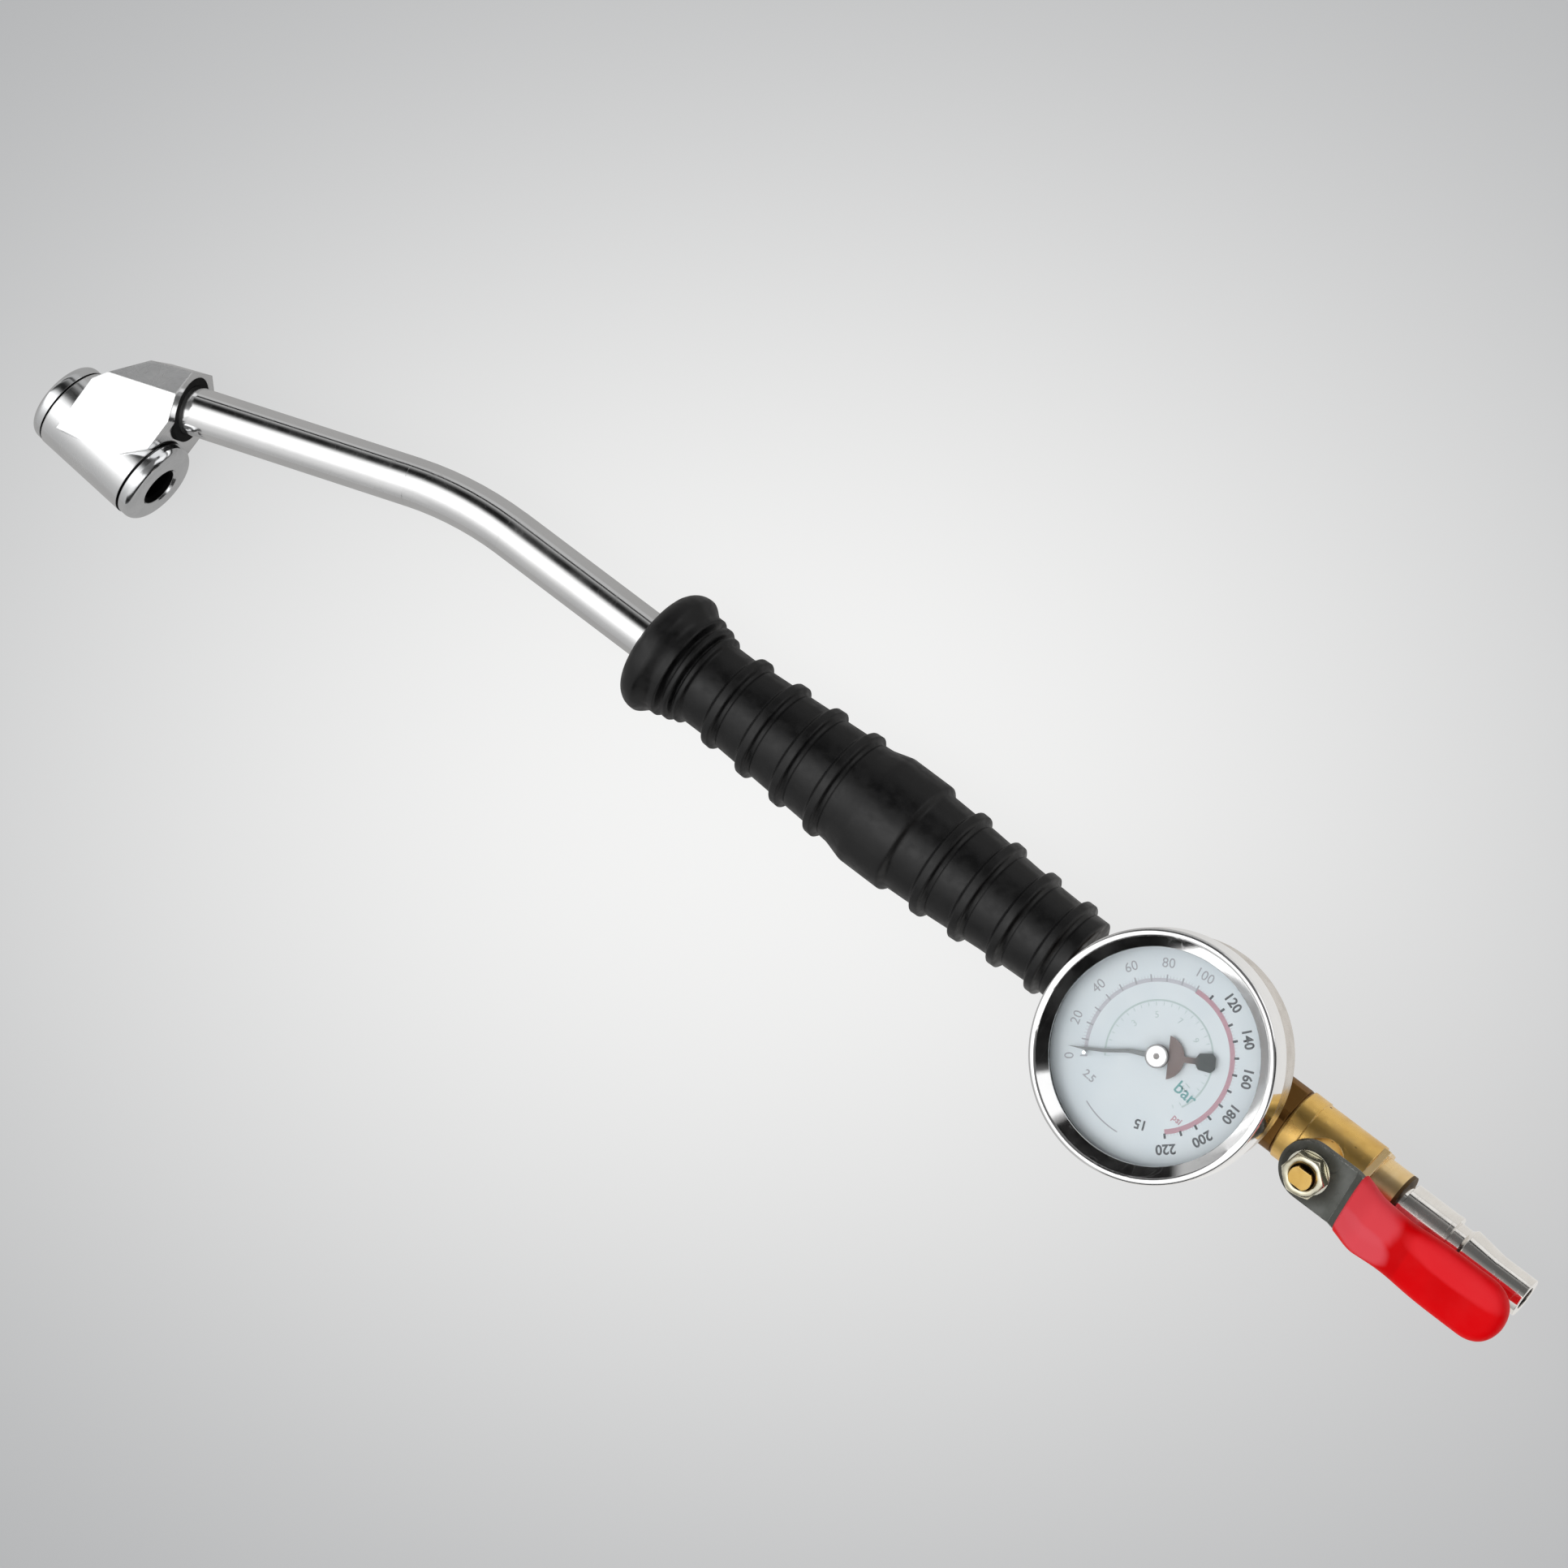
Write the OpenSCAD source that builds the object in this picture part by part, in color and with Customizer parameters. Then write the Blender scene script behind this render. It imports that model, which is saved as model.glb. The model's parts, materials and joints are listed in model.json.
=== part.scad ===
// Portable tyre inflator wand, mm. +X runs along the wand towards the air plug, +Z out of the dial.
// The origin is the centre of the air plug's nose face.

/* [Wand] */
// outside diameter of the wand tube
tube_d = 12.7; // [11:0.1:14]
// wall of the wand tube
tube_wall = 1.2; // [0.8:0.1:2]
// distance from the plug's nose to the tube's bend
bend_back = 330.2; // [310:1:420]
// bend angle of the tube
bend_a = 17.8; // [5:0.5:30]
// bend radius of the tube's centre line
bend_r = 99; // [60:1:120]
// straight run from the bend's corner to the chuck boss
upper_run = 79.8; // [60:1:120]

/* [Chuck] */
// outside diameter of the chuck barrel
barrel_d = 23; // [21:0.5:28]
// length of the barrel between the two end grooves
barrel_l = 28; // [26:0.5:40]
// tilt of the barrel from the wand axis
barrel_tilt = 4.5; // [0:0.5:12]
// distance from the boss end to the barrel centre, along the tube
barrel_back = 19.4; // [17:0.2:24]
// distance from the tube axis down to the barrel's skin
barrel_below = 2.9; // [1:0.1:5]
// length of each end cap outside the groove
cap_l = 4.4; // [3.5:0.1:6]
// bore that the tyre valve goes into
valve_bore_d = 8.8; // [8.2:0.1:9.6]
// height of the boss above the tube axis
boss_rise = 9.6; // [8.5:0.1:11]

/* [Grip] */
// distance from the plug's nose to the grip's front end
grip_front = 267.8; // [240:1:290]
// distance from the plug's nose to the grip's rear end
grip_rear = 133; // [131:1:150]
// diameter of the front flange
flange_d = 33.2; // [28:0.2:38]
// diameter of the wide ring in the middle
hump_d = 30.6; // [28:0.2:36]
// pitch of the ribs
rib_pitch = 11.4; // [8:0.1:13]
// height of a rib over the grip's skin
rib_h = 1.5; // [0.8:0.1:2.2]

/* [Gauge] */
// distance from the plug's nose to the gauge's axis
gauge_back = 97.5; // [97:0.5:103]
// diameter of the bezel
bezel_d = 60; // [59:0.5:72]
// height of the bezel's front above the wand axis
gauge_front = 40; // [40:0.5:48]
// depth of the gauge from the case back to the bezel's front
gauge_depth = 23; // [23:0.5:26]
// direction the pointer rests in
pointer_a = 209; // [200:1:225]

/* [Valve] */
// distance from the plug's nose to the valve stem
stem_back = 56.4; // [56:0.5:58]
// diameter of the valve body
body_d = 17.8; // [17.4:0.1:20]
// roll of the valve stem away from the dial's direction
stem_roll = 17.5; // [8:0.5:24]
// bore of the ball
ball_bore_d = 7; // [5:0.2:8]
// width of the lever plate
lever_w = 15.6; // [12:0.2:16.4]
// reach of the lever sleeve past the plug's nose
lever_reach = 2; // [-8:0.5:8]
// rise of the lever's outer arm over its root
lever_rise = 4; // [3:0.2:6]

/* [Air plug] */
// diameter of the plug's nose
nose_d = 10; // [9:0.1:11]
// length of the plug's nose
nose_l = 9.5; // [8:0.5:10]
// bore of the plug
plug_bore_d = 6; // [4:0.5:6.5]

/* [Hidden] */
$fn = 96;

// fits
gap = 0.05;
e = 1;

// tube
tube_r = tube_d / 2;
tube_ri = tube_r - tube_wall;
bend_t = bend_r * tan(bend_a / 2);
bend_thin = 0.02;
bend_lap = 0.5;
socket_depth = 13;
tee_socket = 12;

// chuck
barrel_r = barrel_d / 2;
barrel_drop = barrel_r + barrel_below;
half_l = barrel_l / 2;
core_r = barrel_r - 3;
chamber_r = core_r - 2.5;
chamber_l = 10;
seal_t = 3;
boss_inset = 0.1;
boss_half = barrel_r - boss_inset;
boss_flat_y = 3.4;
boss_skirt = 9.2;
ring_t = 1.8;
ring_r = tube_r + 2.2;
passage_r = 2.2;
pin_r = 1.1;
pin_flange_r = 4.6;
pin_flange_t = 1.2;
pin_travel = 2;
pin_reach = 4.6;
seal_hole_r = 2.3;
vbore_r = valve_bore_d / 2;
cap_round = 2.4;
relief_l = 1.9;
groove_w = 0.5;
groove_d = 1;
spring_r = 3.4;
spring_wire = 0.3;
spring_turns = 4;

// grip
skin_r = tube_r + 4.85;
grip_l = grip_front - grip_rear;
hump_x = 190.3;
hump_half = 6.2;
rib_w = 3;
rings_x = grip_front - 13.8;

// tee
tee_r = 9;
tee_front = grip_rear - 2;
tee_rear = 79.8;
branch_r = 8.6;
branch_top = gauge_front - gauge_depth - 5;
port_r = 6.5;
duct_r = 4.2;

// gauge levels
case_back = gauge_front - gauge_depth;
bezel_r = bezel_d / 2;
case_r = bezel_r - 1.6;
case_wall = 1;
back_t = 1.2;
bezel_roll = 1.1;
lens_t = 1.8;
gasket_t = 0.9;
lens_top = gauge_front - 2.6;
lens_low = lens_top - lens_t;
rim_top = lens_low - gasket_t;
bezel_skirt = 9;
dial_t = 0.6;
dial_top = rim_top - 1.8;
dial_low = dial_top - dial_t;
dial_r = case_r - case_wall - 0.1;
window_r = bezel_r - 4.5;
floor_z = case_back + back_t;

// movement levels, from the case floor
block_t = 3.8;
plate_t = 1.2;
back_plate_z = floor_z + block_t;
tooth_z = back_plate_z + 4.4;
tooth_t = 2;
sector_t = 1;
sector_z = tooth_z + 0.5;
link_t = 0.6;
link_z = sector_z - link_t - 0.3;
front_plate_z = back_plate_z + 8;
spring_z = back_plate_z + plate_t + 1.2;
spring_h = 0.5;
arbor_r = 0.7;
bourdon_r = case_r - 5.9;
bourdon_w = 1.6;
bourdon_h = 6;
bourdon_z = floor_z + 1;
bourdon_root_a = 262;
bourdon_tip_a = 0;
bourdon_wall = 0.3;
bourdon_start = 3;
bourdon_end = (bourdon_r - bourdon_w / 2) * sin(bourdon_start) - gap;

// gear train
gear_m = 0.4;
pinion_n = 8;
sector_n = 72;
sector_teeth = 11;
gear_c = gear_m * (pinion_n + sector_n) / 2;
sector_a = 315;
sector_x = gear_c * cos(sector_a);
sector_y = gear_c * sin(sector_a);
tail_r = 5;
tail_x = sector_x + tail_r * cos(sector_a);
tail_y = sector_y + tail_r * sin(sector_a);
tip_x = bourdon_r * cos(bourdon_tip_a);
tip_y = bourdon_r * sin(bourdon_tip_a);
link_a = atan2(tip_y - tail_y, tip_x - tail_x);
link_l = norm([tip_x - tail_x, tip_y - tail_y]);
pillar_at = [[-5.6, 4.2], [3, 6.4], [sector_x + 5.2, sector_y + 4.6]];
screw_at = [[-6.4, -2.6], [6.6, 1.6]];
case_screw_ring = 10.9;

// pointer
hub_r = 2.8;
pointer_z = dial_top + 1;
pointer_t = 0.25;
needle_l = 21.8;
tail_l = 14;
pin_ring = 17.6;
pin_turn = 4.4;

// valve
body_r = body_d / 2;
ball_r = body_r - 2.7;
seat_t = 3.3;
cavity_r = ball_r + 0.7;
cavity_in = stem_back + ball_r + 1.3;
cavity_out = stem_back - ball_r - 1.3;
hex_rear = 68.2;
hex_af = 17.6;
hex_turn_r = 9.5;
hex_groove = 0.6;
body_rear = 46.8;
end_hex_af = 16.6;
end_hex_l = 1.9;
end_r = 7.4;
end_rear = 36.9;
plug_thread_r = 4.85;
plug_thread_l = 9;
stem_r = 3;
collar_r = 3.9;
collar_z = ball_r + 0.2;
collar_t = 1.2;
neck_r = 6.2;
neck_top = body_r + 1.7;
packing_r = 4.6;
packing_t = 1.7;
packing_nut_t = 2;
packing_nut_af = 9;
plate_z = neck_top + packing_nut_t + 0.4;
lever_t = 1.6;
washer_t = 0.6;
washer_r = 5.6;
nut_af = 10;
nut_t = 3.4;
stem_top = plate_z + lever_t + washer_t + nut_t + 1.2;
flat_half = 2.4;
tang_half = 1;
tang_l = 2.4;
slot_deep = 2;

// lever
lever_r = lever_w / 2;
lever_tip = stem_back + lever_reach;
step_start = 10;
step_end = 20;
arm_z = plate_z + lever_rise;
sleeve_start = 11.7;
sleeve_w = lever_w + 0.8;
sleeve_t = 6.8;

// plug
nose_r = nose_d / 2;
plug_bore_r = plug_bore_d / 2;
cone_end = nose_l + 8.3;
neck_start = cone_end + 1.2;
ring_start = neck_start + 3.2;
shank_start = ring_start + 1.2;
shank_end = 35.5;

module along_x(x) {
    translate([x, 0, 0]) rotate([0, 90, 0]) children();
}

module ring(ro, ri, z0, z1) {
    translate([0, 0, z0]) difference() {
        cylinder(r = ro, h = z1 - z0);
        translate([0, 0, -e]) cylinder(r = ri, h = z1 - z0 + 2 * e);
    }
}

module hex(af, z0, z1) {
    translate([0, 0, z0]) cylinder(r = af / sqrt(3), h = z1 - z0, $fn = 6);
}

module strip(p, q, w) {
    translate(p) rotate(atan2(q[1] - p[1], q[0] - p[0])) {
        translate([0, -w / 2]) square([norm(q - p), w]);
    }
}

// ---- frames ----

module at_boss() {
    translate([-bend_back - upper_run * cos(bend_a), -upper_run * sin(bend_a), 0])
        rotate([0, 0, bend_a]) children();
}

module at_barrel() {
    at_boss() translate([-barrel_back, -barrel_drop, 0])
        rotate([0, 0, -bend_a - barrel_tilt]) rotate([0, 90, 0]) children();
}

module at_far() {
    at_barrel() mirror([0, 0, 1]) children();
}

module at_gauge() {
    translate([-gauge_back, 0, 0]) children();
}

module at_stem() {
    translate([-stem_back, 0, 0]) rotate([stem_roll, 0, 0]) children();
}

// ---- chuck ----

module boss_side() {
    linear_extrude(height = 2 * boss_half, center = true) polygon([
        [0, boss_rise], [-12, boss_rise - 0.4], [-24, 0.6], [-30, -barrel_drop],
        [-12, -barrel_drop - 2], [-3.4, -boss_skirt - 3], [0, -boss_skirt]
    ]);
}

module boss_section() {
    rotate([90, 0, -90]) linear_extrude(height = 40) polygon([
        [-boss_flat_y, boss_half], [-boss_rise, boss_half / 2], [-boss_rise, -boss_half / 2],
        [-boss_flat_y, -boss_half], [barrel_drop + 3, -boss_half], [barrel_drop + 3, boss_half]
    ]);
}

module tube_path(r, over) {
    run = upper_run - bend_t + socket_depth + over;
    translate([-bend_back + bend_t - bend_lap, 0, 0]) rotate([90, 0, 90])
        cylinder(r = r, h = bend_back - bend_t - tee_front + tee_socket + over + bend_lap);
    translate([-bend_back + bend_t, -bend_r, 0]) rotate([0, 0, 90])
        rotate_extrude(angle = bend_a) translate([bend_r, 0]) circle(r = r - bend_thin);
    translate([-bend_back + bend_t, -bend_r, 0]) rotate([0, 0, bend_a])
        translate([-run, bend_r, 0]) rotate([90, 0, 90])
        cylinder(r = r, h = run + bend_lap);
}

module chuck_body() {
    color("silver") difference() {
        union() {
            at_barrel() ring(barrel_r, chamber_r, -half_l, half_l);
            at_boss() intersection() {
                boss_side();
                boss_section();
            }
        }
        at_barrel() translate([0, 0, -half_l - e]) cylinder(r = chamber_r, h = barrel_l + 2 * e);
        at_barrel() translate([0, 0, chamber_l / 2]) cylinder(r = core_r, h = half_l);
        at_far() translate([0, 0, chamber_l / 2]) cylinder(r = core_r, h = half_l);
        at_barrel() translate([0, 0, half_l]) cylinder(r = barrel_r * 2, h = half_l);
        at_far() translate([0, 0, half_l]) cylinder(r = barrel_r * 2, h = half_l);
        at_boss() rotate([0, 90, 0]) translate([0, 0, -socket_depth])
            cylinder(r = tube_r + gap, h = socket_depth + e);
        at_boss() rotate([0, 90, 0]) translate([0, 0, -ring_t]) cylinder(r = ring_r + gap, h = ring_t + e);
        at_boss() translate([-socket_depth + 2, 0, 0])
            rotate([0, 90, 180 + atan2(barrel_drop, barrel_back - socket_depth + 2)])
            cylinder(r = passage_r, h = barrel_drop);
    }
}

module cap() {
    difference() {
        rotate_extrude() difference() {
            union() {
                translate([0, chamber_l / 2 + seal_t]) square([core_r - gap, half_l - chamber_l / 2 - seal_t]);
                translate([0, half_l]) square([barrel_r - groove_d, groove_w]);
                translate([0, half_l + groove_w]) square([barrel_r - cap_round, cap_l - groove_w]);
                translate([0, half_l + groove_w]) square([barrel_r - 0.2, cap_l - groove_w - cap_round]);
                intersection() {
                    translate([barrel_r - 0.2 - cap_round, half_l + cap_l - cap_round]) circle(r = cap_round);
                    translate([0, half_l + groove_w]) square([barrel_r, cap_l]);
                }
            }
            square([vbore_r, barrel_l]);
            square([vbore_r + 0.5, chamber_l / 2 + seal_t + relief_l]);
            polygon([
                [vbore_r - e, half_l + cap_l - 1.6 - e], [vbore_r, half_l + cap_l - 1.6],
                [vbore_r + 1.4, half_l + cap_l], [vbore_r + 1.4, half_l + cap_l + e],
                [vbore_r - e, half_l + cap_l + e]
            ]);
        }
    }
}

module seal() {
    ring(core_r - gap, seal_hole_r, chamber_l / 2, chamber_l / 2 + seal_t);
}

module pin() {
    translate([0, 0, chamber_l / 2 - gap - pin_flange_t]) {
        cylinder(r = pin_flange_r, h = pin_flange_t);
        cylinder(r = pin_r, h = pin_flange_t + pin_reach);
    }
}

module chuck_cap_near() {
    color("silver") at_barrel() cap();
}

module chuck_cap_far() {
    color("silver") at_far() cap();
}

module chuck_seal_near() {
    color("black") at_barrel() seal();
}

module chuck_seal_far() {
    color("black") at_far() seal();
}

module chuck_pin_near() {
    color("goldenrod") at_barrel() pin();
}

module chuck_pin_far() {
    color("goldenrod") at_far() pin();
}

module chuck_spring() {
    free = chamber_l - 2 * (pin_flange_t + gap) - 2 * spring_wire - 2 * gap;
    color("gray") at_barrel() for (i = [0:spring_turns]) {
        translate([0, 0, -free / 2 + i * free / spring_turns])
            rotate_extrude() translate([spring_r, 0]) circle(r = spring_wire, $fn = 24);
    }
    color("gray") at_barrel() for (i = [0:spring_turns - 1]) {
        rotate([0, 0, i * 180]) translate([spring_r, 0, -free / 2 + i * free / spring_turns])
            cylinder(r = spring_wire * 0.8, h = free / spring_turns, $fn = 24);
    }
}

module tube_seal_ring() {
    color("black") at_boss() rotate([0, 90, 0]) ring(ring_r, tube_r + gap, -ring_t, -0.2);
}

module wand_tube() {
    color("silver") difference() {
        tube_path(tube_r, 0);
        tube_path(tube_ri, e);
    }
}

// ---- grip ----

module rib(s, r, w) {
    polygon([
        [r - e, s - w / 2], [r + rib_h * 0.6, s - w / 2], [r + rib_h, s - w / 4],
        [r + rib_h, s + w / 2 - 0.3], [r + rib_h - 0.3, s + w / 2], [r - e, s + w / 2]
    ]);
}

module grip_skin() {
    hump_s = grip_front - hump_x;
    hump_r = hump_d / 2;
    swell = hump_r - 1.5;
    polygon([
        [tube_r + gap, 1], [skin_r, 9], [skin_r, 24], [skin_r + 0.7, 36],
        [swell - 0.6, 58], [swell, 66], [hump_r, hump_s - hump_half],
        [hump_r, hump_s + hump_half], [swell, hump_s + hump_half + 0.8], [swell - 0.6, 98],
        [skin_r + 0.9, 113], [skin_r + 0.4, grip_l - 8], [skin_r + 0.4, grip_l],
        [tube_r + gap, grip_l]
    ]);
}

module grip_profile() {
    flange_r = flange_d / 2;
    hump_s = grip_front - hump_x;
    grip_skin();
    translate([flange_r - 5.2, 5.2]) circle(r = 5.2);
    translate([flange_r - 3.1, 9]) circle(r = 3);
    translate([tube_r + gap, 0]) square([flange_r - 5.2 - tube_r, 11.9]);
    translate([flange_r - 6, 5.2]) square([5.9, 3.8]);
    translate([skin_r - e, grip_front - rings_x - 0.9]) square([e + 2.4, 1.8]);
    translate([skin_r - e, grip_front - rings_x + 1.8]) square([e + 1.4, 1.6]);
    for (i = [0:3]) rib(26.4 + i * rib_pitch, skin_r - 0.1 + i * 0.68, rib_w);
    for (i = [0:3]) rib(hump_s + 16.7 + i * rib_pitch, skin_r + 2 - i * 0.55, rib_w);
}

module grip_sleeve() {
    color("#222222") along_x(-grip_front) rotate_extrude() grip_profile();
}

// ---- tee and gauge port ----

module tee_body() {
    color("goldenrod") difference() {
        union() {
            along_x(-tee_front) cylinder(r = tee_r, h = tee_front - tee_rear);
            along_x(-tee_rear) cylinder(r = port_r, h = 10);
            at_gauge() cylinder(r = branch_r, h = branch_top);
        }
        along_x(-tee_front - e) cylinder(r = tube_r + gap, h = tee_socket + e);
        along_x(-tee_front + tee_socket - e) cylinder(r = duct_r, h = tee_front);
        at_gauge() translate([0, 0, branch_top - 7]) cylinder(r = port_r + gap, h = 7 + e);
        at_gauge() cylinder(r = duct_r, h = branch_top);
    }
}

module gauge_port_washer() {
    color("peru") at_gauge() ring(branch_r - 0.2, port_r + gap, branch_top, branch_top + 0.8);
}

module bourdon_section(g) {
    translate([bourdon_r, bourdon_z + bourdon_h / 2])
        square([bourdon_w + 2 * g, bourdon_h + 2 * g], center = true);
}

module gauge_socket() {
    color("goldenrod") at_gauge() difference() {
        union() {
            translate([0, 0, branch_top - 6]) cylinder(r = port_r, h = 8);
            hex(14, branch_top + 0.8, case_back);
            translate([0, 0, case_back - e]) cylinder(r = 6.6, h = 2 * e + back_t);
            translate([0, 0, floor_z]) cylinder(r = 13, h = 0.8);
            translate([0, 0, floor_z]) cylinder(r = 8.6, h = block_t);
            rotate([0, 0, bourdon_root_a]) translate([8, -4, floor_z])
                cube([bourdon_r - 8 + 2.6, 8, 0.8]);
            rotate([0, 0, bourdon_root_a]) translate([bourdon_r - 3, -4, floor_z])
                cube([5.6, 8, bourdon_h + 2]);
        }
        translate([0, 0, branch_top - 7]) cylinder(r = 2, h = branch_top);
        rotate_extrude() bourdon_section(gap);
        for (i = [0:2]) rotate([0, 0, 30 + i * 120]) translate([case_screw_ring, 0, floor_z - e])
            cylinder(r = 1, h = 2 * e);
        for (p = screw_at) translate([p[0], p[1], back_plate_z - 2.4]) cylinder(r = 0.85, h = 3);
    }
}

module gauge_case() {
    color("silver") at_gauge() difference() {
        union() {
            ring(case_r, case_r - case_wall, case_back, rim_top);
            translate([0, 0, case_back]) cylinder(r = case_r - e / 2, h = back_t);
            ring(case_r - e / 2, case_r - 2.4, dial_low - 1, dial_low);
        }
        translate([0, 0, case_back - e]) cylinder(r = 6.6 + gap, h = 4);
        for (i = [0:2]) rotate([0, 0, 30 + i * 120]) translate([case_screw_ring, 0, case_back - e])
            cylinder(r = 1, h = 4);
    }
}

module gauge_bezel() {
    color("silver") at_gauge() rotate_extrude() difference() {
        union() {
            translate([case_r + gap, gauge_front - bezel_skirt])
                square([bezel_r - case_r - gap, bezel_skirt - bezel_roll]);
            translate([bezel_r - bezel_roll, gauge_front - bezel_roll]) circle(r = bezel_roll);
            polygon([
                [window_r, lens_top], [bezel_r - bezel_roll, lens_top],
                [bezel_r - bezel_roll, gauge_front - bezel_roll],
                [bezel_r - bezel_roll * 1.71, gauge_front - bezel_roll * 0.29]
            ]);
        }
        translate([0, case_back]) square([case_r + gap, lens_top - case_back]);
    }
}

module gauge_lens() {
    color("lightblue", 0.35) at_gauge() translate([0, 0, lens_low]) cylinder(r = case_r - gap, h = lens_t);
}

module lens_gasket() {
    color("black") at_gauge() ring(case_r - gap, window_r + 0.4, rim_top, lens_low);
}

module gauge_dial() {
    color("white") at_gauge() difference() {
        ring(dial_r, 2.2, dial_low, dial_top);
        rotate([0, 0, pointer_a + pin_turn]) translate([pin_ring, 0, dial_low - e]) cylinder(r = 0.5, h = 3);
    }
}

module stop_pin() {
    color("silver") at_gauge() rotate([0, 0, pointer_a + pin_turn]) translate([pin_ring, 0, dial_low])
        cylinder(r = 0.5, h = dial_t + 2.2);
}

module case_screws() {
    color("silver") at_gauge() for (i = [0:2]) rotate([0, 0, 30 + i * 120])
        translate([case_screw_ring, 0, case_back]) {
            cylinder(r = 1, h = back_t + 0.7);
            translate([0, 0, -1]) difference() {
                cylinder(r = 1.8, h = 1);
                translate([-2, -0.25, -e]) cube([4, 0.5, e + 0.5]);
            }
        }
}

// ---- movement ----

module bourdon_tube() {
    color("goldenrod") at_gauge() rotate([0, 0, bourdon_tip_a + bourdon_start])
        rotate_extrude(angle = bourdon_root_a - bourdon_tip_a - bourdon_start - 2) difference() {
            bourdon_section(0);
            bourdon_section(-bourdon_wall);
        }
}

module bourdon_tip() {
    color("goldenrod") at_gauge() {
        rotate([0, 0, bourdon_tip_a]) {
            translate([bourdon_r - 1.4, bourdon_end - 4.6, bourdon_z]) cube([2.8, 4.6, bourdon_h]);
            translate([bourdon_r, 0, bourdon_z + bourdon_h - 0.5]) cylinder(r = 0.6, h = link_z + 1 - bourdon_z - bourdon_h);
        }
    }
}

module plate_outline() {
    circle(r = 8.2);
    strip([0, 0], [sector_x, sector_y], 7);
    translate([sector_x, sector_y]) circle(r = 3.5);
    strip([sector_x, sector_y], pillar_at[2], 4);
    translate(pillar_at[2]) circle(r = 2.2);
}

module plate(z, spigot) {
    at_gauge() difference() {
        translate([0, 0, z]) linear_extrude(height = plate_t) plate_outline();
        translate([0, 0, z - e]) cylinder(r = arbor_r + gap, h = plate_t + 2 * e);
        translate([sector_x, sector_y, z - e]) cylinder(r = arbor_r + gap, h = plate_t + 2 * e);
        for (p = pillar_at) translate([p[0], p[1], z - e]) cylinder(r = spigot, h = plate_t + 2 * e);
        for (p = screw_at) translate([p[0], p[1], z - e]) cylinder(r = 0.85, h = plate_t + 2 * e);
    }
}

module movement_back_plate() {
    color("goldenrod") plate(back_plate_z, 0.6);
}

module movement_front_plate() {
    color("goldenrod") plate(front_plate_z, 0.6);
}

module movement_pillars() {
    color("goldenrod") at_gauge() for (p = pillar_at) translate([p[0], p[1], back_plate_z]) {
        cylinder(r = 0.6, h = front_plate_z + plate_t + 0.3 - back_plate_z);
        translate([0, 0, plate_t]) cylinder(r = 1.1, h = front_plate_z - back_plate_z - plate_t);
    }
}

module movement_screws() {
    color("silver") at_gauge() for (p = screw_at) translate([p[0], p[1], back_plate_z - 2]) {
        cylinder(r = 0.8, h = 2 + plate_t);
        translate([0, 0, 2 + plate_t]) cylinder(r = 1.4, h = 0.8);
    }
}

module gear_tooth(r, w) {
    polygon([
        [r - 0.6, -w], [r, -w * 0.62], [r + 0.28, -w * 0.32],
        [r + 0.28, w * 0.32], [r, w * 0.62], [r - 0.6, w]
    ]);
}

module sector_gear() {
    pitch = sector_n * gear_m / 2;
    step = 360 / sector_n;
    color("goldenrod") at_gauge() translate([sector_x, sector_y, sector_z]) {
        linear_extrude(height = sector_t) difference() {
            union() {
                circle(r = 2.4);
                strip([0, 0], [tail_x - sector_x, tail_y - sector_y], 2.4);
                translate([tail_x - sector_x, tail_y - sector_y]) circle(r = 1.2);
                rotate(sector_a + 180) for (i = [0:sector_teeth - 1])
                    rotate((1.5 - i) * step) gear_tooth(pitch, 0.42);
                rotate(sector_a + 180) polygon(concat([[1.6, 1.6], [1.6, -1.6]], [
                    for (i = [0:sector_teeth]) (pitch - 0.5) * [
                        cos((i - sector_teeth + 2) * step), sin((i - sector_teeth + 2) * step)
                    ]
                ]));
            }
            circle(r = arbor_r);
        }
        translate([tail_x - sector_x, tail_y - sector_y, -link_t - 0.7]) cylinder(r = 0.6, h = link_t + 0.7);
    }
}

module sector_arbor() {
    color("silver") at_gauge() translate([sector_x, sector_y, back_plate_z + 0.1])
        cylinder(r = arbor_r, h = front_plate_z + plate_t - back_plate_z);
}

module pinion() {
    color("silver") at_gauge() {
        translate([0, 0, back_plate_z + 0.1]) cylinder(r = arbor_r, h = pointer_z + 1.1 - back_plate_z);
        translate([0, 0, tooth_z]) linear_extrude(height = tooth_t) rotate(sector_a) {
            circle(r = pinion_n * gear_m / 2 - 0.5);
            for (i = [0:pinion_n - 1]) rotate(i * 360 / pinion_n) gear_tooth(pinion_n * gear_m / 2, 0.36);
        }
    }
}

module hairspring() {
    turns = 3;
    n = turns * 24;
    w = 0.08;
    r0 = 1.1;
    r1 = 4.4;
    color("steelblue") at_gauge() translate([0, 0, spring_z]) {
        linear_extrude(height = spring_h) polygon(concat(
            [for (i = [0:n]) (r0 + (r1 - r0) * i / n + w) * [cos(i * 15), sin(i * 15)]],
            [for (i = [n:-1:0]) (r0 + (r1 - r0) * i / n - w) * [cos(i * 15), sin(i * 15)]]
        ));
        ring(1.3, arbor_r + gap, 0, spring_h);
    }
}

module link_bar() {
    color("silver") at_gauge() translate([tail_x, tail_y, link_z]) rotate([0, 0, link_a])
        linear_extrude(height = link_t) difference() {
            union() {
                circle(r = 1.2);
                translate([link_l, 0]) circle(r = 1.2);
                translate([0, -0.7]) square([link_l, 1.4]);
            }
            circle(r = 0.6 + gap);
            translate([link_l, 0]) circle(r = 0.6 + gap);
        }
}

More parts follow.
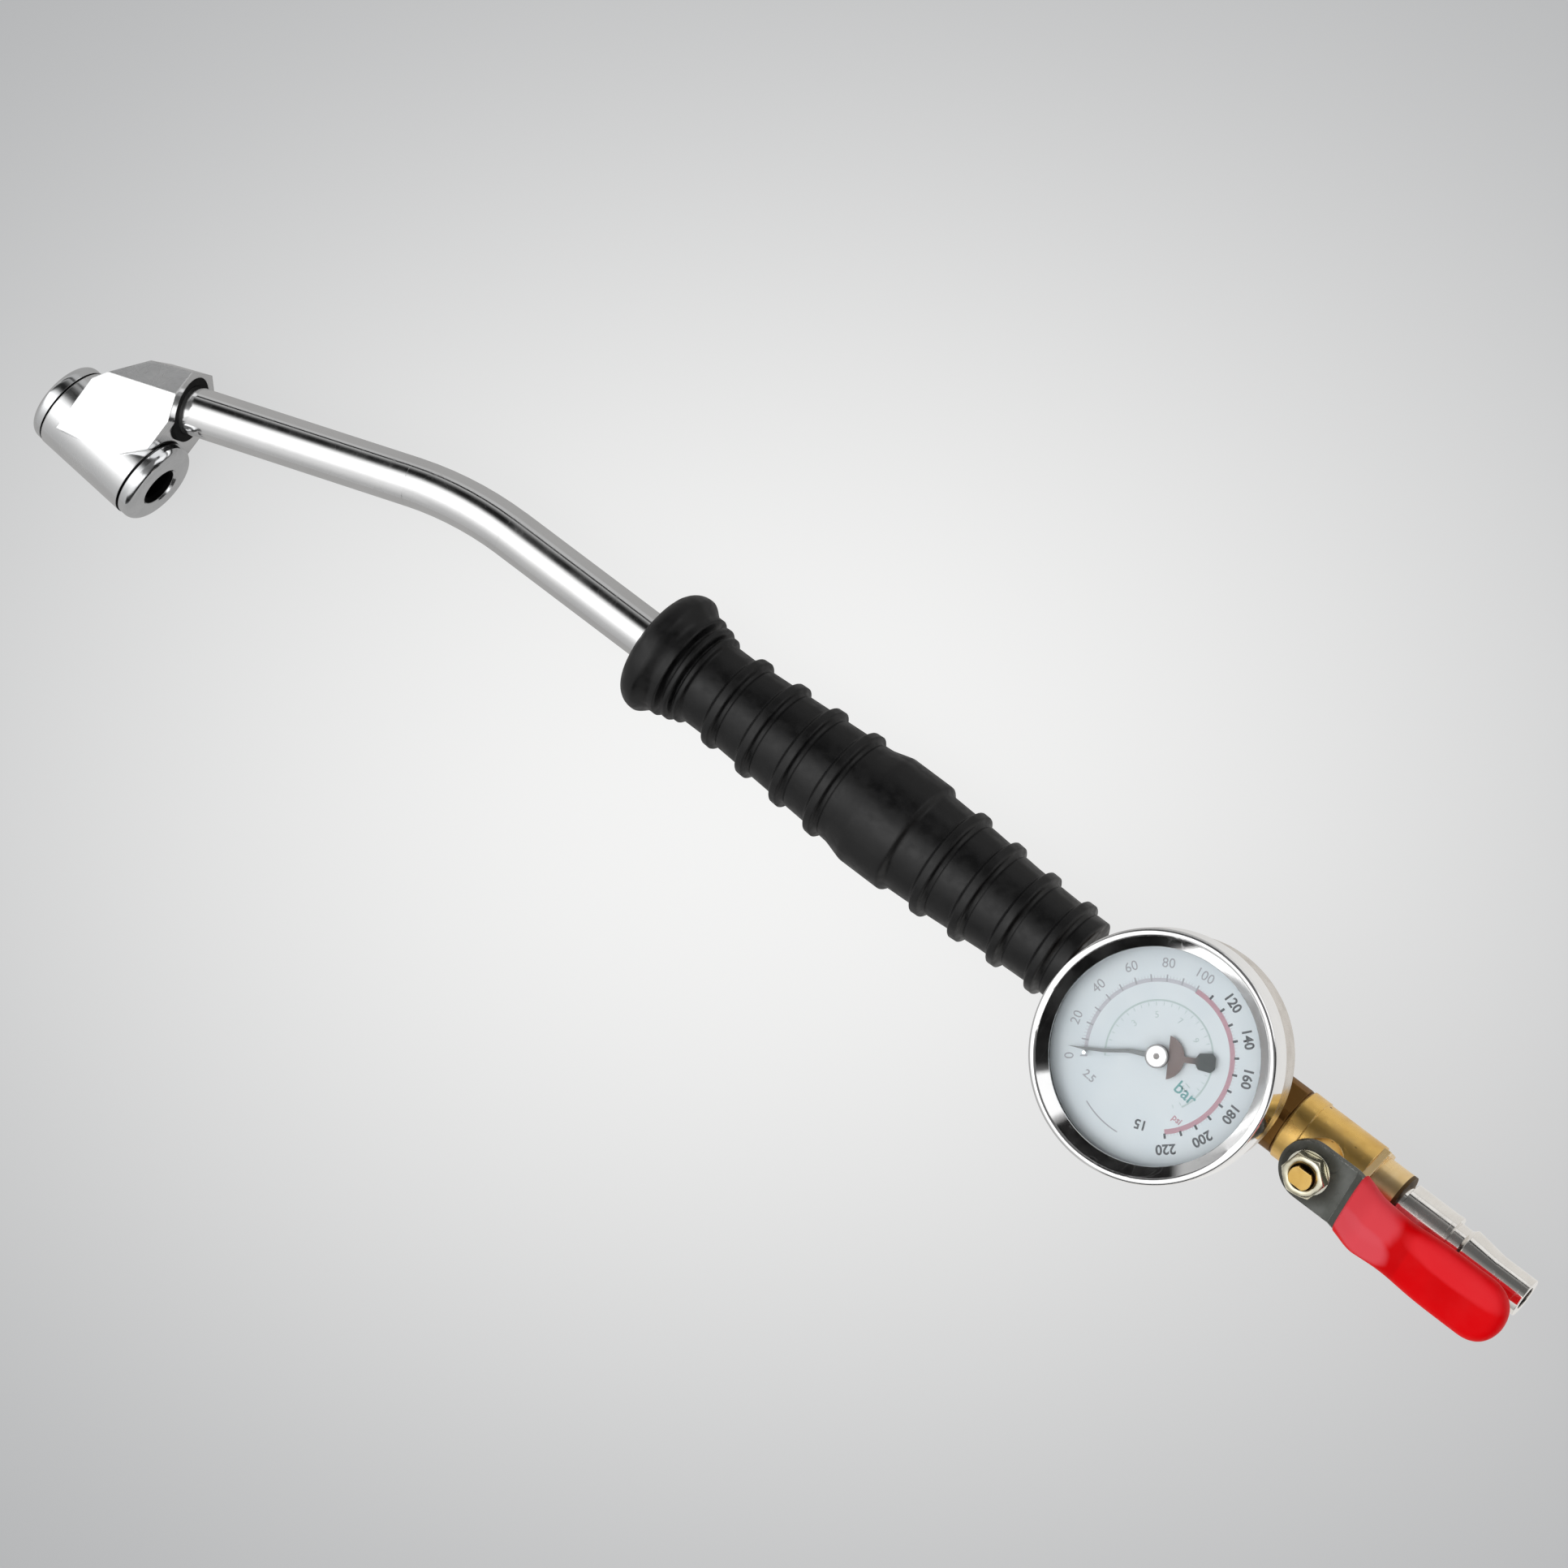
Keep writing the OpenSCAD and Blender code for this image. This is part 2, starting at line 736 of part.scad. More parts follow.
module pointer() {
    color("#555555") at_gauge() rotate([0, 0, pointer_a]) translate([0, 0, pointer_z])
        linear_extrude(height = pointer_t) difference() {
            union() {
                circle(r = hub_r);
                polygon([
                    [1, -0.75], [7, -0.85], [13, -0.05], [needle_l - 4, 0.1], [needle_l, 0.25],
                    [needle_l - 4, 0.75], [13, 0.75], [7, 0.1], [1, 0.75]
                ]);
                difference() {
                    translate([-1.2, 0]) circle(r = 5.3);
                    translate([-2.6, -6]) square([12, 12]);
                }
                polygon([
                    [-1.5, 0.7], [-9.2, 0.7], [-10, 1.9], [1 - tail_l, 2.3], [-tail_l, 1.3],
                    [-tail_l, -1.3], [1 - tail_l, -2.3], [-10, -1.9], [-9.2, -0.7], [-1.5, -0.7]
                ]);
            }
            circle(r = arbor_r + gap);
        }
}

module pointer_hub() {
    color("silver") at_gauge() translate([0, 0, pointer_z + pointer_t]) difference() {
        cylinder(r = hub_r, h = 1);
        translate([0, 0, -e]) cylinder(r = arbor_r + gap, h = e + 0.95);
    }
}

// ---- valve ----

module valve_body() {
    color("goldenrod") difference() {
        union() {
            along_x(-tee_rear) intersection() {
                rotate([0, 0, 90 + stem_roll]) hex(hex_af, 0, tee_rear - hex_rear - hex_groove);
                cylinder(r = hex_turn_r, h = tee_rear);
            }
            along_x(-hex_rear - hex_groove - e) cylinder(r = hex_af / 2 - 0.3, h = hex_groove + 2 * e);
            along_x(-hex_rear) cylinder(r = body_r, h = hex_rear - body_rear);
            along_x(-hex_rear) cylinder(r = body_r + 0.3, h = 4.4);
            at_stem() cylinder(r = neck_r, h = neck_top);
        }
        along_x(-tee_rear - e) cylinder(r = port_r + gap, h = 10.6 + e);
        along_x(-tee_rear) cylinder(r = duct_r, h = tee_rear - cavity_in + e);
        along_x(-cavity_in) cylinder(r = cavity_r, h = cavity_in - body_rear + e);
        at_stem() cylinder(r = collar_r + gap, h = collar_z + collar_t + gap);
        at_stem() cylinder(r = stem_r + gap, h = neck_top + e);
        at_stem() translate([0, 0, neck_top - packing_t]) cylinder(r = packing_r, h = packing_t + e);
    }
}

module valve_end_piece() {
    color("goldenrod") difference() {
        union() {
            along_x(-cavity_out) cylinder(r = cavity_r - gap, h = cavity_out - body_rear + e);
            along_x(-body_rear) rotate([0, 0, 90 + stem_roll]) hex(end_hex_af, 0, end_hex_l);
            along_x(-body_rear) cylinder(r = end_r, h = body_rear - end_rear);
        }
        along_x(-cavity_out - e) cylinder(r = duct_r, h = cavity_out);
        along_x(-end_rear - plug_thread_l - 0.4) cylinder(r = plug_thread_r + gap, h = plug_thread_l + e);
    }
}

module seat(x) {
    difference() {
        along_x(x) ring(cavity_r - gap, ball_bore_d / 2 + 0.1, 0, seat_t);
        translate([-stem_back, 0, 0]) sphere(r = ball_r + gap, $fn = 96);
    }
}

module valve_seat_inlet() {
    color("white") seat(-cavity_in);
}

module valve_seat_outlet() {
    color("white") seat(-cavity_out - seat_t);
}

module valve_ball() {
    color("silver") difference() {
        translate([-stem_back, 0, 0]) sphere(r = ball_r, $fn = 96);
        along_x(-cavity_in) cylinder(r = ball_bore_d / 2, h = 2 * cavity_in);
        at_stem() translate([-tang_half - gap, -ball_r, ball_r - slot_deep])
            cube([2 * (tang_half + gap), 2 * ball_r, ball_r]);
    }
}

module stem_flats(r, f, z0, z1) {
    translate([0, 0, z0]) intersection() {
        cylinder(r = r, h = z1 - z0);
        translate([-r, -f, 0]) cube([2 * r, 2 * f, z1 - z0]);
    }
}

module valve_stem() {
    color("goldenrod") at_stem() {
        translate([-tang_half, -tang_l, ball_r - slot_deep + 0.15])
            cube([2 * tang_half, 2 * tang_l, collar_z + gap - ball_r + slot_deep - 0.15]);
        translate([0, 0, collar_z]) cylinder(r = collar_r, h = collar_t);
        translate([0, 0, collar_z]) cylinder(r = stem_r, h = plate_z - collar_z - 0.1);
        stem_flats(stem_r, flat_half, plate_z - 0.2, stem_top);
    }
}

module stem_packing() {
    color("white") at_stem() ring(packing_r - gap, stem_r + gap, neck_top - packing_t, neck_top);
}

module packing_nut() {
    color("goldenrod") at_stem() difference() {
        hex(packing_nut_af, neck_top, neck_top + packing_nut_t);
        cylinder(r = stem_r + gap, h = plate_z);
    }
}

// ---- lever ----

module lever_side(g) {
    rotate([90, 0, 0]) linear_extrude(height = lever_w + 2 * g, center = true) polygon([
        [-lever_r, plate_z - g], [step_start, plate_z - g], [step_end, arm_z - g],
        [lever_tip, arm_z - g], [lever_tip, arm_z + lever_t + g],
        [step_end, arm_z + lever_t + g], [step_start, plate_z + lever_t + g],
        [-lever_r, plate_z + lever_t + g]
    ]);
}

module lever_plan(r, end) {
    linear_extrude(height = stem_top + 12) {
        circle(r = r);
        translate([0, -r]) square([12, 2 * r]);
        translate([12 - e, -r + 1.6]) square([end - 12 + e - r + 1.6, 2 * r - 3.2]);
        translate([end - r + 1.6, 0]) circle(r = r - 1.6);
    }
}

module lever() {
    color("gray") at_stem() difference() {
        intersection() {
            lever_side(0);
            lever_plan(lever_r, lever_tip - 1.6);
        }
        stem_flats(stem_r + gap, flat_half + gap, plate_z - e, plate_z + lever_t + e);
    }
}

module sleeve_bar(l) {
    rotate([90, 0, 90]) linear_extrude(height = l) {
        square([sleeve_w - sleeve_t, sleeve_t], center = true);
        translate([sleeve_w / 2 - sleeve_t / 2, 0]) circle(r = sleeve_t / 2);
        translate([sleeve_t / 2 - sleeve_w / 2, 0]) circle(r = sleeve_t / 2);
    }
}

module lever_sleeve() {
    mid = arm_z + lever_t / 2;
    tip_r = sleeve_w / 2 - 0.3;
    color("red") at_stem() difference() {
        intersection() {
            union() {
                translate([step_end - 1, 0, mid]) sleeve_bar(lever_tip - step_end + 1);
                translate([sleeve_start - 2, 0, plate_z + lever_t / 2 - 0.35])
                    rotate([0, -atan2(lever_rise, step_end - step_start), 0]) sleeve_bar(12.4);
            }
            linear_extrude(height = stem_top + 12) {
                translate([sleeve_start, -tip_r]) square([lever_tip - tip_r - sleeve_start, 2 * tip_r]);
                translate([lever_tip - tip_r, 0]) circle(r = tip_r);
            }
        }
        intersection() {
            lever_side(gap);
            lever_plan(lever_r + gap, lever_tip - 1.6 + gap);
        }
    }
}

module lever_washer() {
    color("silver") at_stem() ring(washer_r, stem_r + gap, plate_z + lever_t, plate_z + lever_t + washer_t);
}

module lever_nut() {
    color("silver") at_stem() difference() {
        rotate([0, 0, 12]) hex(nut_af, plate_z + lever_t + washer_t, plate_z + lever_t + washer_t + nut_t);
        cylinder(r = stem_r + gap, h = stem_top);
    }
}

// ---- air plug ----

module hose_plug() {
    color("silver") rotate([0, -90, 0]) rotate_extrude() polygon([
        [plug_bore_r, 0], [nose_r, 0], [nose_r, nose_l],
        [nose_r + 1.15, cone_end], [nose_r + 0.2, neck_start], [nose_r + 0.2, ring_start],
        [nose_r + 1.5, ring_start], [nose_r + 1.5, shank_start], [nose_r + 1.4, shank_start],
        [nose_r + 1.4, shank_end], [plug_thread_r, shank_end],
        [plug_thread_r, end_rear + plug_thread_l - 0.6], [plug_bore_r, end_rear + plug_thread_l - 0.6]
    ]);
}

chuck_body();
chuck_cap_near();
chuck_cap_far();
chuck_seal_near();
chuck_seal_far();
chuck_pin_near();
chuck_pin_far();
chuck_spring();
tube_seal_ring();
wand_tube();
grip_sleeve();
tee_body();
gauge_port_washer();
gauge_socket();
gauge_case();
gauge_bezel();
gauge_lens();
lens_gasket();
gauge_dial();
stop_pin();
case_screws();
bourdon_tube();
bourdon_tip();
movement_back_plate();
movement_front_plate();
movement_pillars();
movement_screws();
sector_gear();
sector_arbor();
pinion();
hairspring();
link_bar();
pointer();
pointer_hub();
valve_body();
valve_end_piece();
valve_ball();
valve_seat_inlet();
valve_seat_outlet();
valve_stem();
stem_packing();
packing_nut();
lever();
lever_sleeve();
lever_washer();
lever_nut();
hose_plug();
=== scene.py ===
"""Looks of a hand-held tyre inflator: a bent chrome wand with a grip, a gauge, a ball valve and a plug.

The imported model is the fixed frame. Its nodes keep their shapes and get finishes here, and the soft,
cast or printed parts are new surfaces worked out with numpy. Everything is in metres, in the row frame:
+X runs along the wand towards the air plug, +Z out of the dial.
"""

import json
import logging
import math
from dataclasses import dataclass, field, replace
from enum import Enum
from typing import Any, Sequence

import bmesh
import bpy
import numpy as np
from mathutils import Matrix, Vector


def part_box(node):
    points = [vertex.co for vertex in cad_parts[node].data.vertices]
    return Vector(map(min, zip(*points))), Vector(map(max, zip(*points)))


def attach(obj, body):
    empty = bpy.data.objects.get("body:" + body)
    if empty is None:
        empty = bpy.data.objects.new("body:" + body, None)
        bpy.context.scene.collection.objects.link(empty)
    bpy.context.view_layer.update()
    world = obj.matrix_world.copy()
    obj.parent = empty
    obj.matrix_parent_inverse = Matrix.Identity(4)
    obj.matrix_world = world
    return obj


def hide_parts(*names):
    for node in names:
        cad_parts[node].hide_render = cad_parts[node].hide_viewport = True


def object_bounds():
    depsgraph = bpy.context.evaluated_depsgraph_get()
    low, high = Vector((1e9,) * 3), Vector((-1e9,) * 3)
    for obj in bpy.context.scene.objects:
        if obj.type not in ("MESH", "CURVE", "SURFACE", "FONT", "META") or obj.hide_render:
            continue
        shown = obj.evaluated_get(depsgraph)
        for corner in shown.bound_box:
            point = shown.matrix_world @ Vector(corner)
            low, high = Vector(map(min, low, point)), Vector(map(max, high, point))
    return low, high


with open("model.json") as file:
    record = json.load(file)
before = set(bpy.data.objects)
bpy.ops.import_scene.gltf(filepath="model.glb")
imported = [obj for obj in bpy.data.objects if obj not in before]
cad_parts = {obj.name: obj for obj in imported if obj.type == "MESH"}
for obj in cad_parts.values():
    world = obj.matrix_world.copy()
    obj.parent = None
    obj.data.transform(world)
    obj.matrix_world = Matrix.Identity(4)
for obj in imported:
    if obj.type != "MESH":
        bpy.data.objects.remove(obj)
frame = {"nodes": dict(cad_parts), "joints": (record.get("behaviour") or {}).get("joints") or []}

Array = np.ndarray
Piece = bpy.types.Object
Material = bpy.types.Material
NodeTree = bpy.types.NodeTree
Socket = bpy.types.NodeSocket
Colour = tuple[float, float, float]

LOG = logging.getLogger("wand")
MM = 0.001
NO_LIMIT = 1.0
CAD_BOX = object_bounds()
X_AXIS, Y_AXIS, Z_AXIS = Vector((1, 0, 0)), Vector((0, 1, 0)), Vector((0, 0, 1))


class Ink(Enum):
    """The inks printed on the dial."""

    DARK = "dial_ink_dark"
    # A pale grey ink for the prints on the left half of the dial: a painted reflection of the haze on the
    # lens over them.
    FAINT = "dial_ink_faint"
    RED = "dial_ink_red"
    GREY = "dial_ink_grey"
    GREEN = "dial_ink_green"
    TEAL = "dial_ink_teal"


class Lay(Enum):
    """The way machining marks run on a metal part."""

    NONE = "none"
    RINGS_X = "rings about the wand"
    ROLLED = "rolled along the wand"


# ---------------------------------------------------------------- surfaces


@dataclass(frozen=True)
class Axes:
    """A place in the row frame with its own directions, for shapes worked out in local sizes."""

    origin: Vector
    x: Vector
    y: Vector
    z: Vector

    def place(self, points: Array) -> Array:
        """Turns and moves local points into the row frame.

        Args:
            points: Local points, last axis x, y, z, in metres.

        Returns:
            The same points in the row frame: origin + x * X + y * Y + z * Z.
        """
        turn = np.array([self.x, self.y, self.z], float)
        return points @ turn + np.array(self.origin, float)

    def matrix(self) -> Matrix:
        """The 4x4 matrix that carries local points into the row frame."""
        made = Matrix((self.x, self.y, self.z)).transposed().to_4x4()
        made.translation = self.origin
        return made


def full_turn(steps: int) -> Array:
    """Evenly spaced angles of a whole turn, the last one short of the first."""
    return np.linspace(0.0, math.tau, steps, endpoint=False)


def smoothstep(low: float, high: float, value: Array) -> Array:
    """A cubic ramp, t * t * (3 - 2 t), of value between low and high, clamped to 0 and 1."""
    t = np.clip((value - low) / (high - low), 0.0, 1.0)
    return t * t * (3.0 - 2.0 * t)


def bump(value: Array, centre: float, half: float, edge: float) -> Array:
    """A rise of height 1 about centre, flat for half to each side, with smooth edges of width edge."""
    away = np.abs(value - centre)
    return 1.0 - smoothstep(half - edge / 2, half + edge / 2, away)


def mesh_object(name: str, points: Array, faces: Array, smooth: bool = True) -> Piece:
    """Makes an object from points and faces of one size.

    Args:
        name: The piece's name.
        points: N points in the row frame.
        faces: M rows of vertex numbers, outward by the right-hand rule.
        smooth: True for soft shading over the whole piece.

    Returns:
        The new object, at the origin, linked to the scene.
    """
    mesh = bpy.data.meshes.new(name)
    sides = faces.shape[1]
    mesh.vertices.add(len(points))
    mesh.vertices.foreach_set("co", np.ascontiguousarray(points, np.float32).ravel())
    mesh.loops.add(faces.size)
    mesh.loops.foreach_set("vertex_index", faces.astype(np.int32).ravel())
    mesh.polygons.add(len(faces))
    mesh.polygons.foreach_set("loop_start", np.arange(0, faces.size, sides, dtype=np.int32))
    mesh.polygons.foreach_set("use_smooth", np.full(len(faces), smooth))
    mesh.update(calc_edges=True)
    mesh.validate()
    made = bpy.data.objects.new(name, mesh)
    bpy.context.scene.collection.objects.link(made)
    return made


def grid_faces(rows: int, columns: int, close_rows: bool, close_columns: bool) -> Array:
    """Quads of a grid of rows x columns points, numbered row by row.

    Args:
        rows: Points along the first parameter.
        columns: Points along the second parameter.
        close_rows: True where the last row joins the first.
        close_columns: True where the last column joins the first.

    Returns:
        One row of four vertex numbers per quad: (i, j), (i, j + 1), (i + 1, j + 1), (i + 1, j).
    """
    i, j = np.meshgrid(
        np.arange(rows if close_rows else rows - 1),
        np.arange(columns if close_columns else columns - 1),
        indexing="ij",
    )
    k, m = (i + 1) % rows, (j + 1) % columns
    quads = [i * columns + j, i * columns + m, k * columns + m, k * columns + j]
    return np.stack([q.ravel() for q in quads], axis=1)


def surface(
    name: str, points: Array, close_rows: bool = False, close_columns: bool = True, flip: bool = False
) -> Piece:
    """Makes a surface from a grid of points, rows x columns x 3.

    A whole row of equal points is a pole: its quads become triangles when doubles are merged.

    Args:
        name: The piece's name.
        points: The grid, in the row frame.
        close_rows: True where the last row joins the first.
        close_columns: True where the last column joins the first.
        flip: True to turn the faces round.

    Returns:
        The new object, its doubles merged.
    """
    rows, columns = points.shape[:2]
    faces = grid_faces(rows, columns, close_rows, close_columns)
    if flip:
        faces = faces[:, ::-1]
    made = mesh_object(name, points.reshape(-1, 3), faces)
    merge_doubles(made)
    return made


def merge_doubles(piece: Piece, reach: float = 1e-7) -> None:
    """Merges points of a piece closer than reach, so that poles close."""
    work = bmesh.new()
    work.from_mesh(piece.data)
    bmesh.ops.remove_doubles(work, verts=work.verts, dist=reach)
    bmesh.ops.dissolve_degenerate(work, edges=work.edges, dist=reach)
    work.to_mesh(piece.data)
    work.free()


def revolve(name: str, axes: Axes, radius: Array, along: Array, relief: Array) -> Piece:
    """Turns a closed profile about an axis: x = along, y = r cos a, z = r sin a.

    Args:
        name: The piece's name.
        axes: The place, whose x runs along the axis.
        radius: The profile's radii.
        along: The profile's places along the axis.
        relief: The change of radius, rows x points round the axis.

    Returns:
        The new object.
    """
    turn = full_turn(relief.shape[1])
    r = radius[:, None] + relief
    x = np.repeat(along[:, None], turn.size, axis=1)
    local = np.stack([x, r * np.cos(turn), r * np.sin(turn)], axis=-1)
    return surface(name, axes.place(local), close_rows=True)


def ring_sector(
    name: str, axes: Axes, inner: float, outer: float, start: float, end: float, lift: float
) -> Piece:
    """A thin printed band: points (r cos a, r sin a, lift), r from inner to outer, a from start to end.

    Args:
        name: The piece's name.
        axes: The dial's place, z out of the dial.
        inner: Inner radius.
        outer: Outer radius.
        start: First angle, in degrees.
        end: Last angle, in degrees.
        lift: Height of the ink's top over the dial.

    Returns:
        The new object.
    """
    steps = max(8, int(abs(end - start)))
    angle = np.radians(np.linspace(max(start, end), min(start, end), steps))[:, None]
    r = np.array([inner, outer])[None, :]
    local = np.stack([r * np.cos(angle), r * np.sin(angle), np.full((steps, 2), lift)], axis=-1)
    return surface(name, axes.place(local), close_columns=False)


def ticks(
    name: str, axes: Axes, angles: Array, inner: float, outer: float, width: float, lift: float
) -> Piece:
    """Printed strokes, one quad each, from inner to outer radius at each angle.

    Args:
        name: The piece's name.
        axes: The dial's place.
        angles: The strokes' angles, in degrees.
        inner: Inner radius.
        outer: Outer radius.
        width: The stroke's width.
        lift: Height over the dial.

    Returns:
        The new object: corners r * (cos a, sin a) + side * (-sin a, cos a).
    """
    a = np.radians(np.asarray(angles, float))[:, None]
    r = np.array([inner, outer, outer, inner])[None, :]
    side = np.array([-width, -width, width, width])[None, :] / 2
    x = r * np.cos(a) - side * np.sin(a)
    y = r * np.sin(a) + side * np.cos(a)
    points = axes.place(np.stack([x, y, np.full_like(x, lift)], axis=-1)).reshape(-1, 3)
    faces = np.arange(len(points)).reshape(-1, 4)
    return mesh_object(name, points, faces, smooth=False)


def join(name: str, parts: Sequence[Piece]) -> Piece:
    """Joins several meshes into the first and names it.

    Args:
        name: The joined piece's name.
        parts: The objects; all but the first are removed.

    Returns:
        The joined object.
    """
    with bpy.context.temp_override(active_object=parts[0], selected_editable_objects=list(parts)):
        bpy.ops.object.join()
    parts[0].name = name
    parts[0].data.name = name
    return parts[0]


def print_text(name: str, words: str, height: float, place: Matrix, weight: float = 0.0) -> Piece:
    """Letters as a flat mesh, centred on a place.

    Args:
        name: The piece's name.
        words: The characters.
        height: The font's size.
        place: Where the centre goes, with the text's own directions.
        weight: How far the outline is thickened.

    Returns:
        The new mesh object, at the origin.
    """
    curve = bpy.data.curves.new(name, "FONT")
    curve.body = words
    curve.size = height
    curve.align_x = "CENTER"
    curve.align_y = "CENTER"
    curve.offset = weight
    curve.resolution_u = 3
    source = bpy.data.objects.new(name + "_text", curve)
    bpy.context.scene.collection.objects.link(source)
    bpy.context.view_layer.update()
    shape = bpy.data.meshes.new_from_object(source.evaluated_get(bpy.context.evaluated_depsgraph_get()))
    bpy.data.objects.remove(source)
    bpy.data.curves.remove(curve)
    shape.transform(place)
    made = bpy.data.objects.new(name, shape)
    bpy.context.scene.collection.objects.link(made)
    return made


def add_to(piece: Piece, body: str, finish: Material, slot: str, *stands_for: str) -> None:
    """Dresses a new piece and lets it ride on a body.

    Args:
        piece: The piece.
        body: The CAD body's name.
        finish: Its material.
        slot: The record's material slot; not used.
        stands_for: The CAD nodes that it replaces.
    """
    piece.data.materials.clear()
    piece.data.materials.append(finish)
    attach(piece, body)
    if stands_for:
        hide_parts(*stands_for)
    LOG.info("%s: %d points on %s", piece.name, len(piece.data.vertices), body)


def dress(finish: Material, *nodes: str) -> None:
    """Gives CAD nodes a finish."""
    for name in nodes:
        mesh = frame["nodes"][name].data
        mesh.materials.clear()
        mesh.materials.append(finish)
        LOG.info("%s wears %s", name, finish.name)


# ---------------------------------------------------------------- shader nodes


class Tree:
    """Adds nodes to one node tree, with values or links given by socket name or number."""

    def __init__(self, tree: NodeTree) -> None:
        """Keeps the tree and empties it."""
        self.tree = tree
        tree.nodes.clear()

    def add(self, kind: str, inputs: dict[str | int, Any] | None = None, **settings: Any) -> bpy.types.Node:
        """Adds a node.

        Args:
            kind: The node's type, without the ShaderNode before it.
            inputs: Values or sockets for its inputs.
            settings: The node's own properties.

        Returns:
            The node.
        """
        made = self.tree.nodes.new(kind if kind.startswith("NodeGroup") else "ShaderNode" + kind)
        for key, value in settings.items():
            setattr(made, key, value)
        for key, value in (inputs or {}).items():
            self.feed(value, made.inputs[key])
        return made

    def feed(self, value: Any, socket: Socket) -> None:
        """Links a socket to an input, or sets the input's own value."""
        if isinstance(value, Socket):
            self.tree.links.new(value, socket)
        else:
            socket.default_value = value

    def math(self, operation: str, *values: Any) -> Socket:
        """A Math node's result."""
        return self.add("Math", dict(enumerate(values)), operation=operation).outputs[0]

    def times(self, *values: Any) -> Socket:
        """The product of several values."""
        product = values[0]
        for value in values[1:]:
            product = self.math("MULTIPLY", product, value)
        return product

    def vector(self, operation: str, *values: Any) -> Socket:
        """A Vector Math node's vector."""
        return self.add("VectorMath", dict(enumerate(values)), operation=operation).outputs[0]

    def measure(self, operation: str, *values: Any) -> Socket:
        """A Vector Math node's number, such as a dot product or a length."""
        return self.add("VectorMath", dict(enumerate(values)), operation=operation).outputs["Value"]

    def noise(self, vector: Socket, scale: Any, detail: float = 3.0, rough: float = 0.5) -> Socket:
        """A Noise Texture's value."""
        made = self.add("TexNoise", {"Vector": vector, "Scale": scale, "Detail": detail, "Roughness": rough})
        return made.outputs["Fac"]

    def ramp(self, value: Socket, low: Any, high: Any, bottom: Any = 0.0, top: Any = 1.0) -> Socket:
        """A clamped smooth Map Range of value from low..high to bottom..top."""
        limits = {0: value, 1: low, 2: high, 3: bottom, 4: top}
        return self.add("MapRange", limits, interpolation_type="SMOOTHSTEP").outputs[0]

    def fade(self, value: Socket, low: Any, high: Any) -> Socket:
        """A clamped smooth fall of value, from 1 at low to 0 at high."""
        return self.ramp(value, low, high, 1.0, 0.0)

    def mix(self, share: Any, first: Any, second: Any, blend: str = "MIX") -> Socket:
        """A Mix node's colour."""
        made = self.add("Mix", data_type="RGBA", blend_type=blend)
        for socket, value in zip((made.inputs[0], made.inputs[6], made.inputs[7]), (share, first, second)):
            self.feed((*value, 1.0) if isinstance(value, tuple) else value, socket)
        return made.outputs[2]

    def curve(self, value: Socket, low: float, high: float, stops: Sequence[tuple[float, float]]) -> Socket:
        """A grey value that runs straight between stops.

        Args:
            value: The input.
            low: The input at the left end.
            high: The input at the right end.
            stops: Pairs of input and brightness, in order.

        Returns:
            The ramp's colour.
        """
        share = self.add("MapRange", {0: value, 1: low, 2: high, 3: 0.0, 4: 1.0}).outputs[0]
        made = self.add("ValToRGB", {0: share})
        points = made.color_ramp.elements
        while len(points) < len(stops):
            points.new(0.5)
        for point, (at, bright) in zip(points, stops):
            point.position = (at - low) / (high - low)
            point.color = (bright, bright, bright, 1.0)
        return made.outputs[0]

    def group(self, which: NodeTree, inputs: dict[str, Any]) -> Any:
        """The outputs of a node group, placed with its own values."""
        made = self.tree.nodes.new("ShaderNodeGroup")
        made.node_tree = which
        for key, value in inputs.items():
            self.feed(value, made.inputs[key])
        return made.outputs

    def relief(self, height: Socket, normal: Socket | None = None) -> Socket:
        """The normal of a surface with a height in metres, over another normal if given."""
        inputs = {"Height": height, "Distance": 1.0, "Strength": 1.0}
        if normal is not None:
            inputs["Normal"] = normal
        return self.add("Bump", inputs).outputs[0]

    def principled(self, inputs: dict[str, Any]) -> None:
        """Ends the material in a Principled shader with these inputs."""
        shader = self.add("BsdfPrincipled", inputs)
        self.add("OutputMaterial", {0: shader.outputs[0]})


def new_group(
    name: str, inputs: dict[str, tuple[str, float]], outputs: dict[str, str]
) -> tuple[Tree, Any, Any]:
    """Starts a shader node group.

    Args:
        name: The group's name.
        inputs: Socket name to kind (Float, Vector or Color) and default.
        outputs: Socket name to kind.

    Returns:
        The tree, its input node's outputs and its output node's inputs.
    """
    made = bpy.data.node_groups.new(name, "ShaderNodeTree")
    tree = Tree(made)
    for key, (kind, default) in inputs.items():
        socket = made.interface.new_socket(key, in_out="INPUT", socket_type="NodeSocket" + kind)
        if kind == "Float":
            socket.default_value = default
    for key, kind in outputs.items():
        made.interface.new_socket(key, in_out="OUTPUT", socket_type="NodeSocket" + kind)
    return tree, tree.add("NodeGroupInput").outputs, tree.add("NodeGroupOutput").inputs


def close_group(tree: Tree, outputs: Any, results: dict[str, Socket]) -> NodeTree:
    """Links a group's results to its outputs and gives the group."""
    for key, value in results.items():
        tree.feed(value, outputs[key])
    return tree.tree


